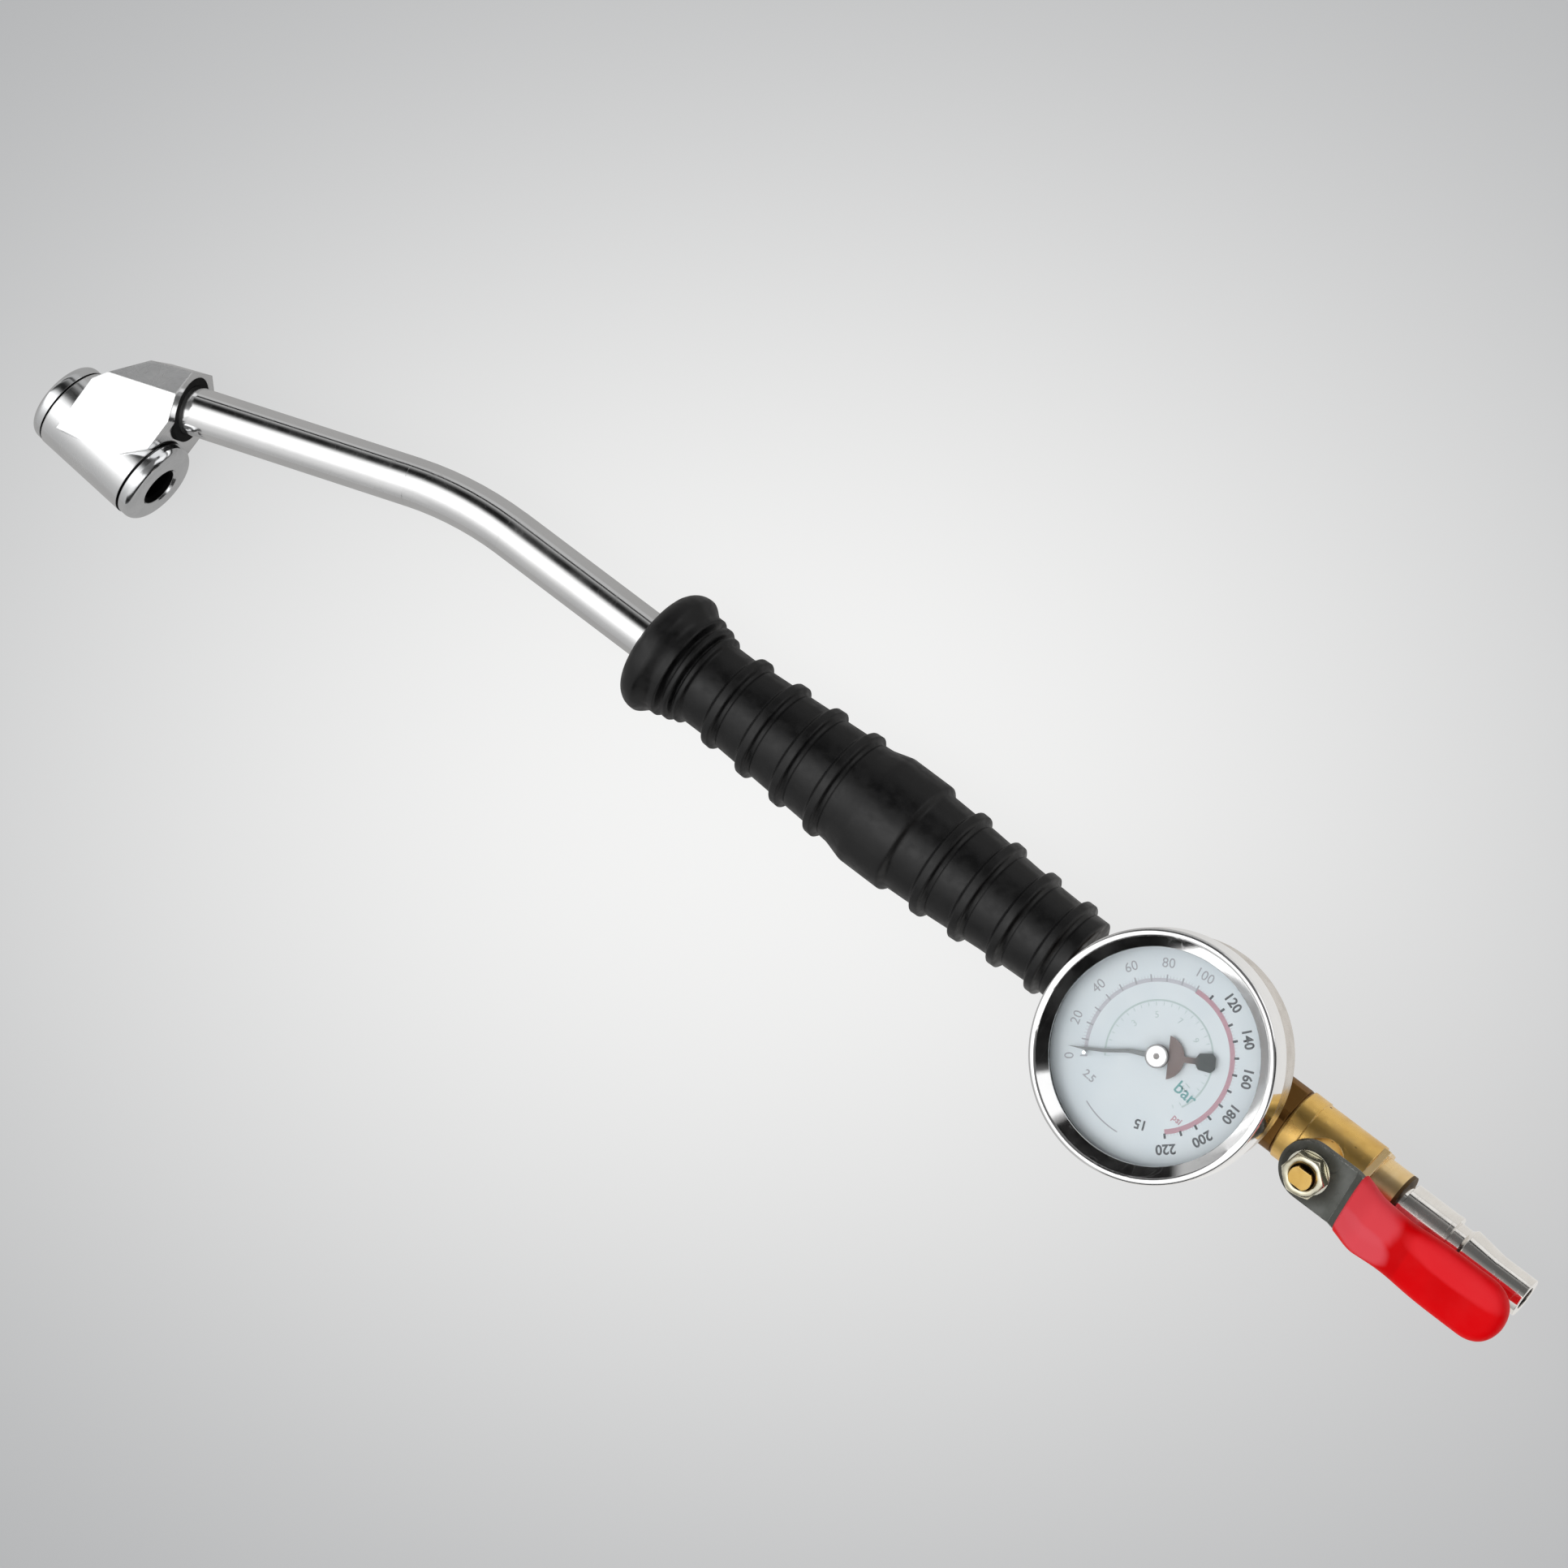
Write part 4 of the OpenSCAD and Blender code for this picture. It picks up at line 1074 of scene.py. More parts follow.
@dataclass
class Gauge:
    """The dial gauge: case, bezel, lens, printed dial and pointer. Angles are degrees from row +X."""

    zero: float = 216.0
    per_psi: float = -1.21
    psi_per_bar: float = 14.5
    red_from: int = 100
    full: int = 220
    green_full: float = 203.0
    numeral_ring: float = 21.7 * MM
    numeral_height: float = 3.3 * MM
    scale_ring: float = 17.8 * MM
    green_ring: float = 13.0 * MM
    bar_ring: float = 9.6 * MM
    bar_full: int = 15
    words_up: float = 83.5
    pointer_turn: float = 209.0
    ink_lift: float = 0.03 * MM
    chrome: Metal = Metal(
        "bezel_chrome", (0.88, 0.88, 0.88), (0.82, 0.82, 0.82), rough=0.05, rough_spread=0.03, edge=0.0002,
        wear=0.0, scratch=0.06, dust=0.05,
    )
    case: Metal = Metal("case_steel", (0.66, 0.62, 0.575), (0.54, 0.50, 0.455), rough=0.24, rough_spread=0.08)

    def axes(self) -> Axes:
        """The dial's centre on its printed face."""
        centre = middle("gauge_bezel")
        return Axes(Vector((centre.x, centre.y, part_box("gauge_dial")[1].z)), X_AXIS, Y_AXIS, Z_AXIS)

    def angle(self, psi: float | Array) -> Any:
        """The dial angle of a pressure in psi."""
        return self.zero + self.per_psi * psi

    def _facing_out(self, angle: float, ring: float) -> Matrix:
        """A place on a ring whose letters stand outwards."""
        a = math.radians(angle)
        out, across = Vector((math.cos(a), math.sin(a), 0)), Vector((math.sin(a), -math.cos(a), 0))
        axes = self.axes()
        return Axes(axes.origin + out * ring + Z_AXIS * self.ink_lift, across, out, Z_AXIS).matrix()

    def build(self) -> None:
        """Prints the dial: numerals, words, arcs and strokes, each ink one piece."""
        inks = {
            Ink.DARK: (0.03, 0.035, 0.045),
            # Painted reflection: the pale grey stands in for the lens's haze over the left half.
            Ink.FAINT: (0.36, 0.36, 0.39),
            Ink.RED: (0.52, 0.27, 0.32),
            Ink.GREY: (0.53, 0.52, 0.56),
            Ink.GREEN: (0.50, 0.59, 0.58),
            Ink.TEAL: (0.13, 0.36, 0.36),
        }
        marks: dict[Ink, list[Piece]] = {ink: [] for ink in Ink}
        self._numerals(marks)
        self._words(marks)
        self._arcs(marks)
        self._strokes(marks)
        for ink, parts in marks.items():
            piece = join(f"{ink.value}_print", parts)
            add_to(piece, "wand", PrintInk(ink, inks[ink]).material(), "dial_paint")

    def _numerals(self, marks: dict[Ink, list[Piece]]) -> None:
        """Adds the figures of both rings, each with its head outwards."""
        for psi in range(0, self.full + 1, 20):
            # Figures up to red_from, on the left half, take the pale ink, a painted reflection of the lens's
            # haze.
            ink, weight = (Ink.DARK, 0.09 * MM) if psi > self.red_from else (Ink.FAINT, 0.0)
            place = self._facing_out(self.angle(psi), self.numeral_ring)
            marks[ink].append(print_text(f"psi_{psi}", str(psi), self.numeral_height, place, weight))
        for bar in range(3, self.bar_full, 2):
            place = self._facing_out(self.angle(bar * self.psi_per_bar), self.bar_ring)
            marks[Ink.GREEN].append(print_text(f"bar_{bar}", str(bar), 2.2 * MM, place))
        last = self._facing_out(-70.0, 16.6 * MM)
        marks[Ink.DARK].append(print_text("bar_last", str(self.bar_full), 3.2 * MM, last, 0.08 * MM))

    def _words(self, marks: dict[Ink, list[Piece]]) -> None:
        """Adds the unit names and the first bar figure, upright one way, at a height, angle and ring."""
        axes, up = self.axes(), math.radians(self.words_up)
        x = Vector((math.sin(up), -math.cos(up), 0))
        y = Vector((math.cos(up), math.sin(up), 0))
        for ink, text, height, angle, ring in (
            (Ink.TEAL, "bar", 4.4 * MM, -18.0, 10.7 * MM),
            (Ink.RED, "psi", 2.2 * MM, -38.0, 15.4 * MM),
            (Ink.FAINT, "2.5", 2.6 * MM, 232.0, 17.6 * MM),
        ):
            a = math.radians(angle)
            spot = axes.origin + Vector((math.cos(a), math.sin(a), 0)) * ring + Z_AXIS * self.ink_lift
            place = Axes(spot, x, y, Z_AXIS).matrix()
            marks[ink].append(print_text(f"word_{text}", text, height, place, 0.05 * MM))

    def _arcs(self, marks: dict[Ink, list[Piece]]) -> None:
        """Adds the arcs: their reach inside and outside a ring, and their first and last angle."""
        axes, ring, green, low = self.axes(), self.scale_ring, self.green_ring, self.ink_lift * 0.6
        zero, red, last = self.angle(0), self.angle(self.red_from), self.angle(self.full)
        end_green = self.angle(self.green_full)
        for ink, name, inner, outer, start, end, lift in (
            (Ink.RED, "red_arc", ring - 0.7 * MM, ring + 0.5 * MM, red, last, low),
            (Ink.GREY, "grey_arc", ring - 0.5 * MM, ring + 0.4 * MM, zero, red, low),
            (Ink.GREEN, "green_arc", green - 0.2 * MM, green + 0.25 * MM, zero, end_green, low),
            (Ink.FAINT, "thin_arc", 20.4 * MM, 20.7 * MM, 247.0, 276.0, self.ink_lift),
        ):
            marks[ink].append(ring_sector(name, axes, inner, outer, start, end, lift))

    def _strokes(self, marks: dict[Ink, list[Piece]]) -> None:
        """Adds the scale's strokes: their values, their ends inside and outside a ring, and their width."""
        axes, ring, green, lift = self.axes(), self.scale_ring, self.green_ring, self.ink_lift
        tens = np.arange(0, self.full + 1, 10)
        strong, weak = tens[tens > self.red_from], tens[tens <= self.red_from]
        fine = np.arange(0, self.full + 1, 2)
        bars = np.arange(0, self.bar_full, 0.5) * self.psi_per_bar
        for ink, name, values, inner, outer, width, height in (
            (Ink.DARK, "strong_ticks", strong, ring + 0.3 * MM, ring + 1.5 * MM, 0.55 * MM, lift),
            (Ink.FAINT, "weak_ticks", weak, ring - 0.4 * MM, ring + 1.3 * MM, 0.35 * MM, lift),
            (Ink.GREY, "fine_ticks", fine, ring + 0.4 * MM, ring + 1.0 * MM, 0.12 * MM, lift * 0.8),
            (Ink.GREEN, "bar_ticks", bars, green - 1.2 * MM, green - 0.4 * MM, 0.18 * MM, lift),
        ):
            marks[ink].append(ticks(name, axes, self.angle(values), inner, outer, width, height))

    def dress(self) -> None:
        """Gives the gauge's nodes their finishes."""
        dress(self.chrome.material(), "gauge_bezel")
        dress(self.case.material(), "gauge_case")
        dress(Lens().material(), "gauge_lens")
        gasket = Moulded("gasket_rubber", (0.02, 0.02, 0.02), (0.03, 0.03, 0.03), dust=0.0)
        dress(gasket.material(), "lens_gasket")
        dress(self.dial_paint(), "gauge_dial")
        steel = Metal("pin_steel", (0.86, 0.86, 0.86), (0.7, 0.7, 0.7), rough=0.12)
        dress(steel.material(), "stop_pin")
        spot = self.axes().origin
        rings = (
            Band(
                spot, Z_AXIS, inner=2.35 * MM, outer=2.95 * MM, soft=0.2 * MM, colour=(0.25, 0.24, 0.24),
                rough=0.2,
            ),
            Band(spot, Z_AXIS, outer=0.75 * MM, soft=0.2 * MM, colour=(0.22, 0.20, 0.19), rough=0.2),
        )
        hub = Metal("hub_nickel", (0.80, 0.79, 0.78), (0.68, 0.66, 0.64), rough=0.24, bands=rings)
        dress(hub.material(), "pointer_hub")
        dress(self.pointer_paint(), "pointer")
        dress(Metal("zinc_screw", (0.7, 0.7, 0.68), (0.55, 0.55, 0.53), rough=0.25).material(), "case_screws")

    def dial_paint(self) -> Material:
        """Pale enamel with a faint bluish cast, a slightly darker rim and fine orange-peel."""
        made, tree = new_material("dial_paint")
        at = coordinates(tree)
        axes = self.axes()
        flat = tree.vector("MULTIPLY", tree.vector("SUBTRACT", at, tuple(axes.origin)), (1.0, 1.0, 0.0))
        ring = tree.measure("LENGTH", flat)
        drift = tree.ramp(tree.noise(at, 60.0, 3.0), 0.35, 0.65)
        colour = tree.mix(drift, (0.70, 0.75, 0.78), (0.76, 0.80, 0.82))
        colour = tree.mix(tree.ramp(ring, 22.5 * MM, 26.0 * MM, 0.0, 0.35), colour, (0.6, 0.66, 0.7))
        peel = tree.noise(at, 1800.0, 2.0)
        normal = tree.relief(tree.math("MULTIPLY", peel, 0.000004))
        rough = tree.ramp(drift, 0.0, 1.0, 0.32, 0.42)
        tree.principled({"Base Color": colour, "Roughness": rough, "Normal": normal})
        return made

    def pointer_paint(self) -> Material:
        """Grey needle, brown crescent and green-black paddle, by distance along the pointer's own axis."""
        made, tree = new_material("pointer_paint")
        at = coordinates(tree)
        a = math.radians(self.pointer_turn)
        moved = tree.vector("SUBTRACT", at, tuple(self.axes().origin))
        along = tree.measure("DOT_PRODUCT", moved, (math.cos(a), math.sin(a), 0.0))
        grain = tree.group(EFFECTS.grain, {"Vector": at, "Size": 0.0005})
        needle = tree.mix(grain["Shade"], (0.16, 0.17, 0.17), (0.24, 0.25, 0.25))
        colour = tree.mix(tree.ramp(along, -1.0 * MM, 0.5 * MM), (0.16, 0.105, 0.095), needle)
        colour = tree.mix(tree.ramp(along, -10.5 * MM, -7.0 * MM), (0.012, 0.022, 0.022), colour)
        rough = tree.ramp(grain["Shade"], 0.0, 1.0, 0.35, 0.5)
        normal = tree.relief(tree.math("MULTIPLY", grain["Height"], 0.000004))
        tree.principled({"Base Color": colour, "Roughness": rough, "Normal": normal})
        return made


@dataclass
class Movement:
    """The works inside the gauge, hidden at rest but finished all the same."""

    def dress(self) -> None:
        """Gives the movement's nodes their finishes."""
        brass = Metal(
            "movement_brass", (0.8, 0.6, 0.28), (0.66, 0.47, 0.18), rough=0.16, lay=Lay.ROLLED,
            mark_height=0.000001,
        )
        bronze = Metal("bronze", (0.62, 0.36, 0.17), (0.5, 0.27, 0.12), rough=0.22)
        steel = Metal("arbor_steel", (0.66, 0.66, 0.67), (0.52, 0.52, 0.53), rough=0.14)
        plates = ("movement_back_plate", "movement_front_plate", "movement_pillars")
        dress(brass.material(), *plates, "sector_gear")
        dress(bronze.material(), "bourdon_tube", "bourdon_tip")
        dress(steel.material(), "sector_arbor", "pinion", "link_bar", "movement_screws")
        blue = Metal("spring_blue", (0.18, 0.25, 0.42), (0.12, 0.17, 0.3), rough=0.18)
        dress(blue.material(), "hairspring")


@dataclass
class Pipework:
    """The tee behind the gauge and the gauge's threaded socket."""

    def dress(self) -> None:
        """Gives the tee, washer and socket their finishes, the tee and socket in brass darkened as painted
        shade under the gauge.
        """
        # Painted shade: the tee and socket lie in the gauge's shadow, so their brass is a dark brown copy of
        # the valve's.
        dark = Metal(
            "dark_brass", (0.26, 0.14, 0.05), (0.13, 0.065, 0.022), rough=0.26, rough_spread=0.14,
            cast_size=0.003, cast_height=0.00006, edge=0.0004, worn=(0.85, 0.66, 0.3), dust=0.2,
        )
        dress(dark.material(), "tee_body", "gauge_socket")
        fibre = Moulded("fibre_washer", (0.32, 0.12, 0.06), (0.24, 0.09, 0.04), rough=0.7)
        dress(fibre.material(), "gauge_port_washer")


@dataclass
class BallValve:
    """The brass ball valve and its stem."""

    hex_end: float = -68.4 * MM
    gold: Metal = Metal(
        "gold_brass", (0.80, 0.52, 0.16), (0.62, 0.37, 0.09), rough=0.24, rough_spread=0.12, grain=0.0009,
        grain_height=0.000006, cast_size=0.0055, cast_height=0.00005, pit=(0.07, 0.03, 0.012), edge=0.0004,
        worn=(0.95, 0.8, 0.48), wear=0.6, dust=0.1,
    )

    def dress(self) -> None:
        """Gives the valve's nodes their finishes."""
        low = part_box("valve_body")[0].x
        # Painted shade: the hex end of the body, in the gauge's shadow, is darkened to a deep brown.
        shade_under_gauge = Band(
            Vector((low, 0, 0)), X_AXIS, high=self.hex_end - low, soft=0.4 * MM, colour=(0.12, 0.048, 0.012),
            rough=0.05, cover=0.9,
        )
        dress(replace(self.gold, bands=(shade_under_gauge,)).material(), "valve_body")
        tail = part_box("valve_end_piece")[1].x
        # Painted shade: a dark line on the last 0.9 mm of the end piece, in the seam against the plug.
        gap = Band(Vector((tail, 0, 0)), X_AXIS, low=-0.9 * MM, colour=(0.045, 0.02, 0.008), cover=0.9)
        pale = Metal(
            "pale_brass", (0.84, 0.62, 0.32), (0.70, 0.48, 0.2), rough=0.26, lay=Lay.RINGS_X, pitch=0.00035,
            mark_height=0.000004, edge=0.0003, bands=(gap,),
        )
        dress(pale.material(), "valve_end_piece")
        stem = Metal("stem_brass", (0.86, 0.56, 0.16), (0.66, 0.4, 0.1), rough=0.18, edge=0.0003)
        dress(stem.material(), "valve_stem", "packing_nut")
        dress(Metal("ball_chrome", (0.86, 0.86, 0.86), (0.8, 0.8, 0.8), rough=0.05).material(), "valve_ball")
        white = Moulded("ptfe", (0.8, 0.8, 0.78), (0.72, 0.72, 0.7), rough=0.45, dust=0.0, subsurface=0.2)
        dress(white.material(), "valve_seat_inlet", "valve_seat_outlet", "stem_packing")


@dataclass
class Handle:
    """The valve's lever with its dipped sleeve, washer and nut, on the stem's own axes."""

    root_level: float = 13.8 * MM
    arm_level: float = 17.8 * MM
    step_start: float = 10.0 * MM
    step_end: float = 20.0 * MM
    half_thick: float = 3.3 * MM
    half_wide: float = 8.3 * MM
    nut_low: float = 15.2 * MM
    nut_high: float = 18.6 * MM
    nut_flat: float = 5.0 * MM
    nut_bore: float = 3.05 * MM
    nut_turn: float = 12.0
    start: float = 11.8 * MM
    tip: float = 58.3 * MM
    waist_at: float = 27.0 * MM
    waist_reach: float = 7.5 * MM
    waist_depth: float = 0.10
    tip_round: float = 3.6 * MM
    lip_round: float = 0.7 * MM
    squareness: float = 2.7
    rows: int = 220
    around: int = 96

    def axes(self) -> Axes:
        """The stem's place: z up the stem, x along the lever at rest."""
        turn = next(j for j in frame["joints"] if j["name"] == "lever_turn")
        up = Vector(turn["axis"]).normalized()
        return Axes(Vector(turn["pos_m"]), X_AXIS, up.cross(X_AXIS), up)

    def build(self) -> None:
        """Builds the dipped sleeve and the chamfered nut."""
        self._sleeve()
        self._nut()

    def _nut(self) -> None:
        """The nut: a hexagon r = flat / cos(a mod 60 - 30 degrees), cut by a cone c at both ends.

        Each row of the closed profile runs r = min(hexagon, c) outside, or the bore's radius inside.
        """
        angle, axes = full_turn(144), self.axes()
        wrapped = np.mod(angle - math.radians(self.nut_turn), math.pi / 3) - math.pi / 6
        hexagon = self.nut_flat / np.cos(wrapped)
        corner = self.nut_flat / math.cos(math.pi / 6)
        height = self.nut_high - self.nut_low
        share = np.array([0.0, 0.06, 0.12, 0.18, 0.3, 0.5, 0.7, 0.82, 0.88, 0.94, 1.0])
        face, ends = self.nut_flat * 0.97, np.minimum(share, 1.0 - share)
        cone = np.where(ends < 0.18, face + (corner - face) * ends / 0.18, corner * 1.01)
        outer = np.minimum(hexagon[None, :], cone[:, None])
        inner = np.full((2, angle.size), self.nut_bore)
        radius = np.concatenate([outer, inner])
        level = self.nut_low + height * np.concatenate([share, [1.0, 0.0]])
        local = np.stack(
            [radius * np.cos(angle), radius * np.sin(angle), np.repeat(level[:, None], angle.size, axis=1)],
            axis=-1,
        )
        piece = surface("chamfered_nut", axes.place(local), close_rows=True, flip=True)
        # Painted shade: a dark ring at the bore, where the nut meets the stem.
        thread = Band(
            axes.origin, axes.z, inner=2.8 * MM, outer=3.5 * MM, soft=0.15 * MM, colour=(0.03, 0.025, 0.02),
        )
        zinc = Metal(
            "zinc_nut", (0.80, 0.76, 0.60), (0.60, 0.56, 0.40), rough=0.14, rough_spread=0.1, edge=0.0004,
            worn=(0.97, 0.95, 0.86), dust=0.06, bands=(thread,),
        )
        add_to(piece, "lever", zinc.material(), "zinc_nut", "lever_nut")

    def _sleeve(self) -> None:
        """The sleeve: a superellipse |y / a| ^ n + |z / b| ^ n = 1, n its squareness, along the lever.

        Its half-width a swells and narrows like a hand-dipped skin and closes in a half circle at the tip,
        its half-thickness b rounds off over the last few millimetres, and its centre follows the cranked arm.
        """
        s = np.linspace(0.0, 1.0, self.rows)
        x = self.start + (self.tip - self.start) * np.sin(s * math.pi * 0.5)
        crank = smoothstep(self.step_start, self.step_end, x)
        level = self.root_level + (self.arm_level - self.root_level) * crank
        waist = 1.0 - self.waist_depth * np.exp(-(((x - self.waist_at) / self.waist_reach) ** 2))
        wide = self.half_wide * waist * self._rounded(self.tip - x, self.half_wide, 2.2)
        thick = self.half_thick * self._rounded(self.tip - x, self.tip_round, 2.4)
        mouth = self._rounded(x - self.start, self.lip_round, 2.0)
        wide, thick = wide * (0.94 + 0.06 * mouth), thick * (0.8 + 0.2 * mouth)
        angle, power = full_turn(self.around), 2.0 / self.squareness
        y, z = (np.sign(wave) * np.abs(wave) ** power for wave in (np.cos(angle), np.sin(angle)))
        local = np.stack(
            [
                np.repeat(x[:, None], self.around, axis=1),
                wide[:, None] * y[None, :],
                level[:, None] + thick[:, None] * z[None, :],
            ],
            axis=-1,
        )
        first = local[:1].mean(axis=1, keepdims=True).repeat(self.around, axis=1)
        grid = np.concatenate([first, local], axis=0)
        piece = surface("dipped_sleeve", self.axes().place(grid))
        vinyl = Moulded(
            "red_vinyl", (0.80, 0.0005, 0.003), (0.72, 0.0003, 0.002), rough=0.34, rough_spread=0.1,
            grain=0.002, grain_height=0.000004, ripple=0.009, ripple_height=0.00010, edge=0.0006,
            worn=(0.8, 0.12, 0.12), wear=0.15, specular=0.05, dust=0.01, dust_colour=(0.8, 0.55, 0.55),
            # The sleeve's patches are painted highlights and painted shade.
            bloom=self.bloom(),
        )
        add_to(piece, "lever", vinyl.material(), "red_vinyl", "lever_sleeve")

    @staticmethod
    def _rounded(distance: Array, reach: float, power: float) -> Array:
        """A round end: (1 - (1 - t) ^ power) ^ 1/2, t the distance from the end over its reach, up to 1."""
        t = np.clip(distance / reach, 0.0, 1.0)
        return np.sqrt(np.clip(1.0 - (1.0 - t) ** power, 0.0, 1.0))

    def bloom(self) -> tuple[Patch, ...]:
        """Painted light on the sleeve: a darker painted shade in the crease, painted pink highlights near the
        root and a paler painted highlight along the arm.
        """
        axes = self.axes()
        return (
            Patch(axes, (28.5 * MM, 0.0), (2.4 * MM, 9.5 * MM), 0.7, (0.55, 0.0005, 0.002), 0.45),
            Patch(axes, (17.5 * MM, 3.4 * MM), (9.0 * MM, 5.4 * MM), 0.5, (0.83, 0.075, 0.095), 0.85),
            Patch(axes, (18.5 * MM, -2.8 * MM), (8.8 * MM, 3.9 * MM), 0.4, (0.83, 0.095, 0.12), 0.85),
            Patch(axes, (43.0 * MM, 5.0 * MM), (13.5 * MM, 3.0 * MM), 0.5, (0.88, 0.022, 0.030), 0.9),
        )

    def dress(self) -> None:
        """Gives the lever and washer their finishes."""
        axes = self.axes()
        # Dark round the nut: dirt together with a painted shadow of the nut on the plate.
        grime_and_nut_shadow = Band(
            axes.origin, axes.z, outer=8.0 * MM, soft=1.6 * MM, colour=(0.045, 0.043, 0.035), rough=0.1,
            cover=0.7,
        )
        # Its worn edges, near white at wear 0.9, are partly edge wear and partly painted edge highlights.
        plate = Metal(
            "zinc_lever", (0.15, 0.155, 0.145), (0.085, 0.09, 0.08), rough=0.34, rough_spread=0.14,
            grain=0.0008, grain_height=0.000004, edge=0.0004, worn=(0.8, 0.8, 0.76), wear=0.9, dust=0.08,
            bands=(grime_and_nut_shadow,),
        )
        dress(plate.material(), "lever")
        washer = Metal("zinc_washer", (0.74, 0.73, 0.64), (0.6, 0.58, 0.48), rough=0.18, edge=0.0002)
        dress(washer.material(), "lever_washer")


@dataclass
class Plug:
    """The quick-connect plug."""

    nickel: Metal = Metal(
        "nickel", (0.84, 0.82, 0.785), (0.74, 0.71, 0.67), rough=0.07, rough_spread=0.05, lay=Lay.RINGS_X,
        pitch=0.0003, mark_height=0.0000015, edge=0.00025, worn=(0.95, 0.93, 0.9),
    )

    def dress(self) -> None:
        """Gives the plug its nickel."""
        dress(self.nickel.material(), "hose_plug")


# ---------------------------------------------------------------- studio


@dataclass
class Studio:
    """The camera, the pale floor and the soft light."""

    place: Vector = field(default_factory=lambda: Vector((154.062346, 243.379572, 1257.140824)) * MM)
    right: Vector = field(default_factory=lambda: Vector((0.764967, 0.54786, -0.337466)))
    down: Vector = field(default_factory=lambda: Vector((0.57943, -0.814488, -0.008833)))
    lens: float = 125.095
    sensor: float = 36.0
    floor_size: float = 12.0
    floor_gap: float = 0.2 * MM
    shade: Colour = (0.355, 0.362, 0.372)
    glow: Colour = (0.93, 0.93, 0.925)
    glow_middle: tuple[float, float] = (-0.2296, -0.0147)
    glow_across: tuple[float, float] = (0.813, 0.582)
    glow_up: tuple[float, float] = (-0.580, 0.815)
    glow_wide: float = 0.267
    glow_high: float = 0.193
    strip: tuple[tuple[float, float], ...] = (
        (-180.0, 0.35), (-95.0, 0.42), (-77.0, 0.5), (-65.0, 0.55), (-57.0, 0.65), (-48.0, 0.8), (-40.0, 1.0),
        (-26.0, 1.5), (-10.0, 1.8), (5.0, 1.5), (15.0, 1.0), (19.0, 0.75), (26.0, 0.2), (33.0, 0.02),
        (47.0, 0.01), (55.0, 0.1), (63.0, 0.35), (72.0, 0.54), (95.0, 0.48), (180.0, 0.38),
    )
    plug_strip: tuple[tuple[float, float], ...] = (
        (-180.0, 0.35), (-95.0, 0.42), (-77.0, 0.5), (-60.0, 0.7), (-40.0, 1.0), (-26.0, 1.5), (-10.0, 1.8),
        (4.0, 1.2), (10.0, 0.32), (30.0, 0.13), (56.0, 0.13), (64.0, 0.3), (72.0, 0.9), (90.0, 1.0),
        (105.0, 0.6), (180.0, 0.45),
    )
    plug_side: tuple[float, float] = (-0.21, -0.175)
    gap_turn: tuple[float, float] = (-93.0, 40.0)
    gap_rise: tuple[float, float] = (-0.08, 0.46)
    patch_turn: tuple[float, float, float, float] = (42.0, 46.0, 71.0, 76.0)
    arc_turn: tuple[float, float, float, float] = (75.0, 80.0, 150.0, 158.0)
    arc: tuple[tuple[float, float], ...] = (
        (60.0, 0.40), (77.0, 0.385), (92.0, 0.35), (113.0, 0.292), (136.0, 0.20), (153.0, 0.12),
        (170.0, 0.08),
    )

    def build(self) -> None:
        """Sets up camera, floor, world and lamps."""
        self._camera()
        self._floor()
        self._world()
        self._lamps()
        bpy.context.scene.view_settings.view_transform = "Standard"

    def _camera(self) -> None:
        """The camera, by its place and its own directions."""
        data = bpy.data.cameras.new("camera")
        data.lens = self.lens
        data.sensor_width = self.sensor
        data.clip_start, data.clip_end = 0.05, 50.0
        made = bpy.data.objects.new("camera", data)
        bpy.context.scene.collection.objects.link(made)
        up = -self.down
        back = self.right.cross(up)
        made.matrix_world = Axes(self.place, self.right, up, back).matrix()
        bpy.context.scene.camera = made

    def _floor(self) -> None:
        """A pale floor under the object that glows, though it is no lamp: to the camera its glow is a painted
        pool of light that falls off slowly from the middle of the view, and other rays see painted light that
        is darker near the plug end.
        """
        low, high = CAD_BOX
        middle_x, middle_y = (low.x + high.x) / 2, (low.y + high.y) / 2
        half = self.floor_size / 2
        grid = np.linspace(-half, half, 25)
        x, y = np.meshgrid(grid + middle_x, grid + middle_y, indexing="ij")
        points = np.stack([x, y, np.full_like(x, low.z - self.floor_gap)], axis=-1)
        piece = surface("floor", points, close_columns=False, flip=True)
        material, tree = new_material("floor_painted_glow")
        at = coordinates(tree)
        moved = tree.vector("SUBTRACT", at, (*self.glow_middle, 0.0))
        spread = []
        for direction, reach in ((self.glow_across, self.glow_wide), (self.glow_up, self.glow_high)):
            along = tree.measure("DOT_PRODUCT", moved, (*direction, 0.0))
            spread.append(tree.math("POWER", tree.math("DIVIDE", along, reach), 2.0))
        away = tree.math("EXPONENT", tree.math("MULTIPLY", tree.math("ADD", *spread), -1.0))
        shown = tree.mix(away, self.shade, self.glow)
        # Other rays see painted light: darker near the plug end, mid grey far off; it lights the wand and
        # shows in its chrome.
        far = tree.measure("LENGTH", moved)
        plug_end = tree.ramp(tree.add("SeparateXYZ", {0: at}).outputs[0], -0.2, -0.08)
        near = tree.mix(plug_end, (0.38, 0.375, 0.37), (0.85, 0.84, 0.82))
        mirrored = tree.mix(tree.ramp(far, 0.15, 1.2), near, (0.5, 0.5, 0.5))
        camera_ray = tree.add("LightPath").outputs["Is Camera Ray"]
        glow = tree.add("Emission", {0: tree.mix(camera_ray, mirrored, shown), 1: 1.0})
        matte = tree.add("BsdfDiffuse", {0: (0.8, 0.8, 0.8, 1.0)})
        both = tree.add("MixShader", {0: 0.92, 1: matte.outputs[0], 2: glow.outputs[0]})
        tree.add("OutputMaterial", {0: both.outputs[0]})
        piece.data.materials.append(material)

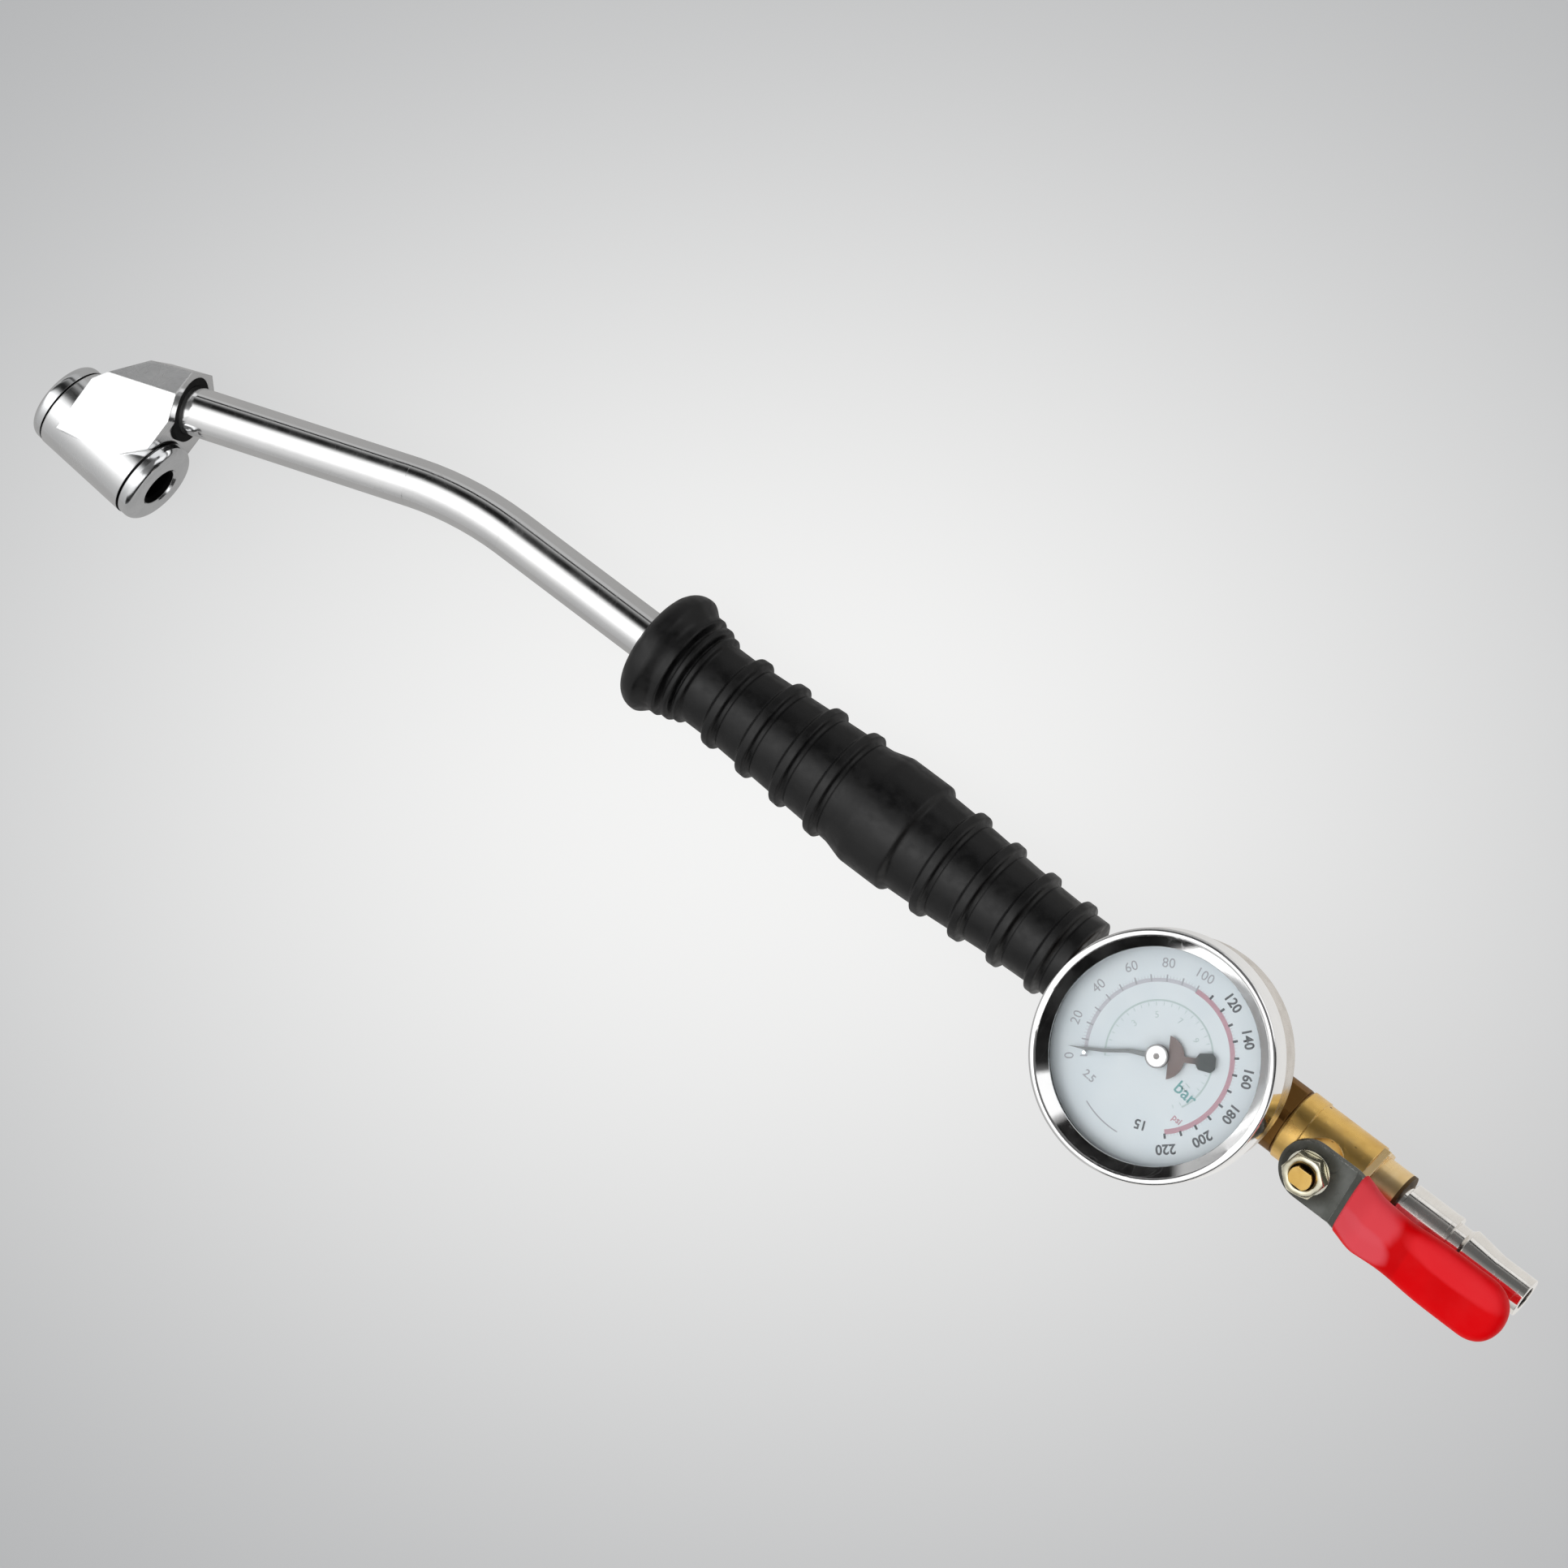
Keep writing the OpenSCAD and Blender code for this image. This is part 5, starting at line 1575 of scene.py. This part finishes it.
    def _world(self) -> None:
        """A white tent, brighter over the wand, with dark stretches where it is open.

        Over the wand its brightness follows strip, by the tilt of a direction about the wand; the plug sees
        plug_strip. One opening is a box in turn and rise, the other an arc whose rise depends on the turn,
        and a white patch lies beside them.
        """
        world = bpy.data.worlds.new("tent")
        world.use_nodes = True
        bpy.context.scene.world = world
        tree = Tree(world.node_tree)
        to = tree.add("TexCoord").outputs["Generated"]
        x, y, z = tree.add("SeparateXYZ", {0: to}).outputs
        tilt = tree.math("DEGREES", tree.math("ARCTAN2", y, z))
        over_wand = tree.curve(tilt, -180.0, 180.0, self.strip)
        over_plug = tree.curve(tilt, -180.0, 180.0, self.plug_strip)
        tent = tree.mix(tree.ramp(x, *self.plug_side), over_wand, over_plug)
        turn = tree.math("DEGREES", tree.math("ARCTAN2", y, x))
        (start, end), (low, high) = self.gap_turn, self.gap_rise
        across = self._window(tree, turn, (start - 3, start + 3, end - 3, end + 3))
        gap = tree.times(across, self._window(tree, z, (low - 0.03, low + 0.03, high - 0.05, high + 0.05)))
        rise = tree.curve(turn, self.arc[0][0], self.arc[-1][0], self.arc)
        off = tree.math("ABSOLUTE", tree.math("SUBTRACT", z, rise))
        arc = tree.times(self._window(tree, turn, self.arc_turn), tree.fade(off, 0.045, 0.075))
        patch = tree.times(self._window(tree, turn, self.patch_turn), tree.fade(z, 0.5, 0.6))
        tent = tree.mix(patch, tent, (1.15, 1.15, 1.15))
        seen = tree.mix(tree.math("MAXIMUM", gap, arc), tent, (0.008, 0.008, 0.008))
        plain = tree.mix(tree.ramp(z, -0.1, 0.5), (0.66, 0.67, 0.68), (0.8, 0.81, 0.82))
        camera_ray = tree.add("LightPath").outputs["Is Camera Ray"]
        background = tree.add("Background", {0: tree.mix(camera_ray, seen, plain), 1: 1.0})
        tree.add("OutputWorld", {0: background.outputs[0]})

    @staticmethod
    def _window(tree: Tree, value: Socket, edges: tuple[float, float, float, float]) -> Socket:
        """1 between two soft edges: a rise from edges 0 to 1, a fall from edges 2 to 3."""
        return tree.times(tree.ramp(value, *edges[:2]), tree.fade(value, *edges[2:]))

    def _lamps(self) -> None:
        """One broad soft lamp over the middle, which only lifts the matt parts."""
        data = bpy.data.lights.new("over", "AREA")
        data.shape = "SQUARE"
        data.size = 0.9
        data.energy = 1.5
        made = bpy.data.objects.new("over", data)
        made.location = (-0.35, -0.25, 1.5)
        target = (CAD_BOX[0] + CAD_BOX[1]) / 2
        made.rotation_euler = (target - made.location).to_track_quat("-Z", "Y").to_euler()
        bpy.context.scene.collection.objects.link(made)


def main() -> None:
    """Builds and dresses the wand in order, then sets up the studio."""
    logging.basicConfig(level=logging.INFO, format="%(name)s: %(message)s")
    for kind in (Chuck, Tube, Grip, Gauge, Movement, Pipework, BallValve, Handle, Plug, Studio):
        part = kind()
        for step in ("build", "dress"):
            if hasattr(part, step):
                getattr(part, step)()
        LOG.info("%s done", kind.__name__)


if __name__ == "__main__":
    main()
